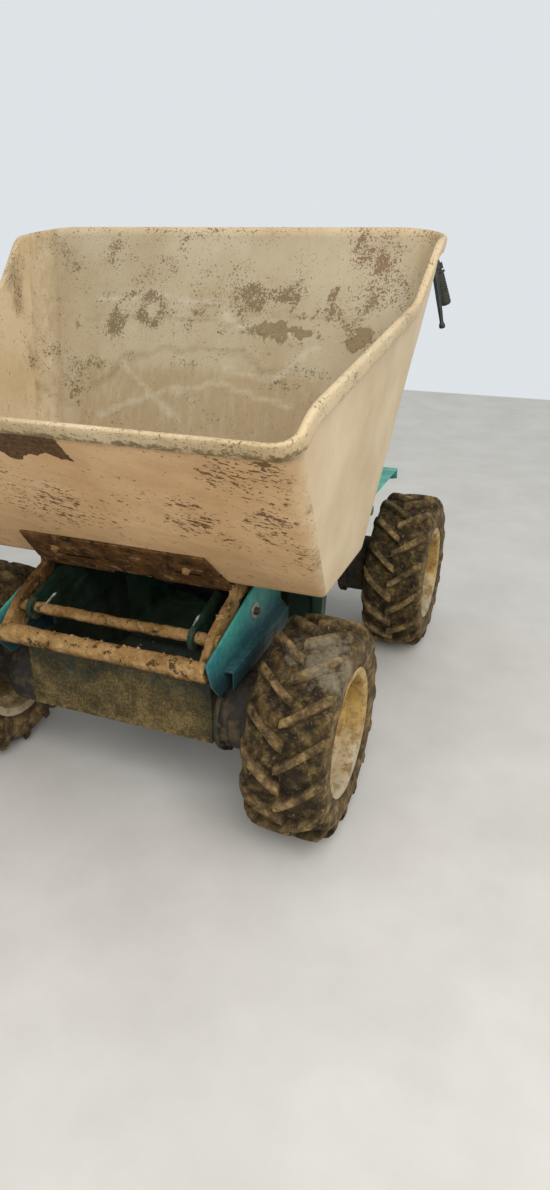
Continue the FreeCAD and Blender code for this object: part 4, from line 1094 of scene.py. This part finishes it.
def barCorner(side):
    return at(side * bars["half"], bars["barY"], bars["barZ"])


def sideways(vector, side):
    return Vector((vector.x * side, vector.y, vector.z))


reach = bars["gripStart"] + bars["gripLength"] - 6
route = [barCorner(-1) + sideways(gripLine, -1) * reach * mm, barCorner(-1), barCorner(1),
         barCorner(1) + gripLine * reach * mm]
crossBar = tubeMesh("cross bar", bentRoute(route, [bars["bend"] * mm] * 2, 14), bars["radius"] * mm, 28)
newPiece("crossBar", crossBar, "handlebar")
uprights = []
uprightLow, uprightHigh = boxOf("handlebar_uprights")
for side in (-1, 1):
    y = uprightHigh.y - bars["uprightRadius"] * mm
    x = side * bars["uprightX"]
    points = [Vector((x * mm, y, uprightLow.z)), Vector((x * mm, y, bars["bendZ"] * mm)),
              at(x, bars["barY"], bars["barZ"] - 4)]
    bend = bentRoute(points, [bars["uprightBend"] * mm], 14)
    uprights.append(tubeMesh("upright", bend, bars["uprightRadius"] * mm, 28))
newPiece("uprights", joined("uprights", uprights), "handlebar_uprights")


def gripMesh(side):
    # ribbed sleeve with a flange at the top and a rounded end
    profile = [(0, 14.2), (0, 21), (2, 23), (6, 23), (8, 21), (9, 18.6)]
    ribs = 10
    for n in range(ribs):
        start = 12 + n * (bars["gripLength"] - 26) / ribs
        profile += [(start, 17.6), (start + 1.5, 19), (start + 5.5, 19), (start + 7, 17.6)]
    length = bars["gripLength"]
    profile += [(length - 8, 18.8), (length - 2, 18.4), (length + 3, 15), (length + 6, 8), (length + 6.6, 0)]
    mesh = turnedMesh("grip", profile, 40)
    start = barCorner(side) + sideways(gripLine, side) * bars["gripStart"] * mm
    turn = turnTo(sideways(gripLine, side))
    mesh.transform(Matrix.Translation(start) @ turn)
    return mesh


newPiece("gripSleeves", joined("grips", [gripMesh(-1), gripMesh(1)]), "grips")
levers = []
for side in (-1, 1):
    along = sideways(gripLine, side)
    middle = barCorner(side) + along * 46 * mm
    pivot = middle + Vector((0, -34, 0)) * mm
    blade = (sideways(gripLine + Vector((-0.12, -0.04, 0)), side)).normalized()
    levers.append(tubeMesh("clamp", [middle - along * 10 * mm, middle + along * 10 * mm], 21 * mm, 32))
    levers.append(tubeMesh("arm", [middle, pivot + Vector((0, -3, 0)) * mm], 8 * mm, 20))
    across = Vector((11 * side, 0, 0)) * mm
    levers.append(tubeMesh("boss", [pivot - across, pivot + across], 11 * mm, 24))
    profile = [(0, 0), (0, 10), (4, 11), (50, 10.4), (110, 8.6), (168, 6.4), (174, 6.6), (178, 8.6), (183, 10.4),
               (189, 10.4), (193, 8.4), (195, 0)]
    rod = turnedMesh("blade", profile, 28)
    rod.transform(Matrix.Translation(pivot) @ turnTo(blade))
    levers.append(rod)
    levers.append(hexHead("clamp screw", 10 * mm, 7 * mm, 8 * mm, middle + Vector((0, 20, 0)) * mm, (0, 1, 0)))
newPiece("brakeLeverSet", joined("levers", levers), "brake_levers")
print("handlebar done")

# Rear: bumper tube, stop button and key switch

low, high = boxOf("rear_bumper")
middle = (low + high) / 2
left, right = low.x / mm, high.x / mm
bumper = turnedMesh("bumper", [(left, 0), (left, 20), (left + 4, 24), (right - 4, 24), (right, 20), (right, 0)], 48, Vector((0, middle.y, middle.z)))
bumper.set_sharp_from_angle(angle=math.radians(60))
newPiece("bumperTube", bumper, "rear_bumper")


def knobMesh(node, profile, segments=40):
    # profile of (distance from the console, radius) turned about Y
    low, high = boxOf(node)
    mesh = turnedMesh(node, profile, segments)
    face = Matrix.Translation(((low.x + high.x) / 2, low.y, (low.z + high.z) / 2))
    mesh.transform(face @ Matrix.Rotation(math.pi / 2, 4, "Z"))
    mesh.set_sharp_from_angle(angle=math.radians(40))
    return mesh


stop = knobMesh("stop_button", [(0, 0), (0, 13), (12, 13), (13, 19), (15, 20), (24, 20), (28, 18.5), (31, 13),
                                (32, 6), (32, 0)])
newPiece("stopKnob", stop, "stop_button")
key = knobMesh("key_switch", [(0, 0), (0, 11), (10, 11), (12, 10), (12, 8.5), (14, 8.5), (22, 8), (22, 0)], 32)
newPiece("keyBarrel", key, "key_switch")
print("rear done")

# Ram: round barrel and rod between their eyes

ram = {"base": (0, 560, 318), "eye": (0, 158, 600), "short": 55}
ramBase = at(*ram["base"])
ramEye = at(*ram["eye"])
ramLength = (ramEye - ramBase).length / mm
ramTurn = turnTo(ramEye - ramBase)
mouth = ramLength - ram["short"]
outline = [(20, 0), (20, 27), (23, 30), (mouth - 24, 30), (mouth - 22, 33), (mouth - 3, 33), (mouth, 30),
           (mouth, 16.6), (60, 16.6), (60, 0)]
barrel = moved(turnedMesh("barrel", outline, 48), Matrix.Translation(ramBase) @ ramTurn)
tail = turnedMesh("tail", [(-30, 12.5), (-30, 22), (-28, 24), (28, 24), (30, 22), (30, 12.5), (-30, 12.5)], 40, ramBase)
rodLine = turnedMesh("rod", [(66, 0), (66, 16), (ramLength - 14, 16), (ramLength - 14, 0)], 40)
rodLine = moved(rodLine, Matrix.Translation(ramBase) @ ramTurn)
head = turnedMesh("head", [(-18, 0), (-18, 21), (-15.5, 24), (15.5, 24), (18, 21), (18, 0)], 40, ramEye)
for name, parts in (("ram_barrel", [barrel, tail]), ("ram_rod", [rodLine, head])):
    whole = joined(name, parts)
    whole.set_sharp_from_angle(angle=math.radians(40))
    newPiece("turned_" + name, whole, name)

# Pins, washers and bolts on the tipping pivot

fittings = []
for side in (-1, 1):
    fittings.append(hexHead("side plate bolt", 18 * mm, 10 * mm, 12 * mm, at(side * 321, 77, 558), (side, 0, 0)))
newPiece("sidePlateBolts", joined("side plate bolts", fittings), None, "chassis", "motor_case")
washer = [(0, 11), (3, 11), (3.6, 12), (3.6, 22.6), (3, 23.4), (0, 23.4), (0, 11)]
washers = [moved(turnedMesh("washer", washer, 40),
                 Matrix.Translation(at(side * 320, 77, 558)) @ Matrix.Scale(side, 4, (1, 0, 0))) for side in (-1, 1)]
newPiece("sidePlateWashers", joined("washers", washers), None, "chassis", "bright_steel")


def hairpin(foot, lean):
    # spring clip through the shaft: a straight leg, an eye at the top and a waved leg hugging the shaft
    straight = [Vector((0, 0, -20)), Vector((0, 0, 40))]
    eye = [Vector((0, 7 - 7 * math.cos(turn), 52 + 9 * math.sin(turn))) for turn in
           [math.pi * n / 12 for n in range(-2, 15)]]
    wave = [Vector((0, 8 + 5 * math.sin(n / 14 * 2.2 * math.pi), 40 - 62 * n / 14)) for n in range(15)]
    turn = Matrix.Rotation(math.radians(lean), 4, "Y")
    return tubeMesh("hairpin", [at(*foot) + (turn @ p) * mm for p in straight + eye + wave], 2.0 * mm, 12)


def bush(side):
    # ring pressed into the arm round the pivot, its middle sunk
    profile = [(-2, 0), (-2, 10), (6.5, 10.5), (8, 12), (8, 15), (6.5, 16.5), (-2, 17.5)]
    ring = turnedMesh("bush", profile + [(-3, 17.5), (-3, 0)], 40)
    place = Matrix.Translation(at(side * 300, -118, 558))
    return moved(ring, place @ Matrix.Scale(side, 4, (1, 0, 0)))


clips = [hairpin((-214, -118, 562), 42), hairpin((222, -118, 562), 26)]
newPiece("shaftClips", joined("clips", clips), None, bodyOf["pivot_shaft"], "bright_steel")
newPiece("pivotBushes", joined("bushes", [bush(-1), bush(1)]), None, "skip", "muddy_steel")
print("fittings done")

# Crumbs of clay on the ledges


def facingUp(point, normal):
    return normal.z > 0.2


def betweenRails(point, normal):
    return normal.z > 0.2 and abs(point.x) < 0.195


def onLedge(point, normal):
    return normal.z > 0.7 and point.y < axleY + 0.3


# bed, body, crumbs per square metre, largest crumb in millimetres, which faces carry them
ledges = {"tube": ("caked_tip_front_tube", "skip", 2600, 5.5, facingUp),
          "shaft": ("caked_pivot_shaft", bodyOf["pivot_shaft"], 1800, 4, betweenRails),
          "arms": ("caked_tip_arms", "skip", 3500, 4.5, facingUp),
          "plate": ("caked_skip_mount_plate", "skip", 700, 4, None),
          "frame": ("soft_main_frame", "chassis", 500, 6, onLedge)}
for number, (name, (bed, body, density, size, keep)) in enumerate(ledges.items()):
    crumbsOn("crumbs_" + name, bpy.data.objects[bed].data, body, density, size * mm, 11 + number, keep)
print("crumbs done")

# Remaining CAD pieces take their slot's finish

for node, thing in frame["nodes"].items():
    thing.data.materials.clear()
    thing.data.materials.append(finishes[slotOf[node]])

# Stage: pale floor, soft studio light

light = {"sky": "#E9EEF2", "skyStrength": 0.9, "keyWatts": 130, "keySize": 3.0, "keyPlace": (2.2, -2.4, 3.6)}
world = bpy.data.worlds.new("studio")
scene.world = world
world.use_nodes = True
world.node_tree.nodes["Background"].inputs["Color"].default_value = linear(light["sky"])
world.node_tree.nodes["Background"].inputs["Strength"].default_value = light["skyStrength"]
lamp = bpy.data.objects.new("key", bpy.data.lights.new("key", "AREA"))
lamp.data.energy = light["keyWatts"]
lamp.data.size = light["keySize"]
lamp.location = Vector(light["keyPlace"]) + Vector((0, axleY, 0))
lamp.rotation_mode = "QUATERNION"
lamp.rotation_quaternion = (Vector((0, axleY + 0.3, 0.7)) - lamp.location).to_track_quat("-Z", "Y")
scene.collection.objects.link(lamp)

floorMesh = bpy.data.meshes.new("floor")
floorMesh.from_pydata([(-6, -6, 0), (6, -6, 0), (6, 6, 0), (-6, 6, 0)], [], [(0, 1, 2, 3)])
concrete, tree, spot = newMaterial("pale concrete", Roughness=0.8)
cloudy = grain(tree, spot, 333.3, 6)
tone = addNode(tree, "ShaderNodeValToRGB", {0: cloudy}, ramp=[(0.3, "#C9C4BB"), (0.7, "#D6D1C9")])
floorMesh.materials.append(finishWith(concrete, tone))
floor = bpy.data.objects.new("floor", floorMesh)
scene.collection.objects.link(floor)
scene.view_settings.view_transform = "Standard"

print("stage done")
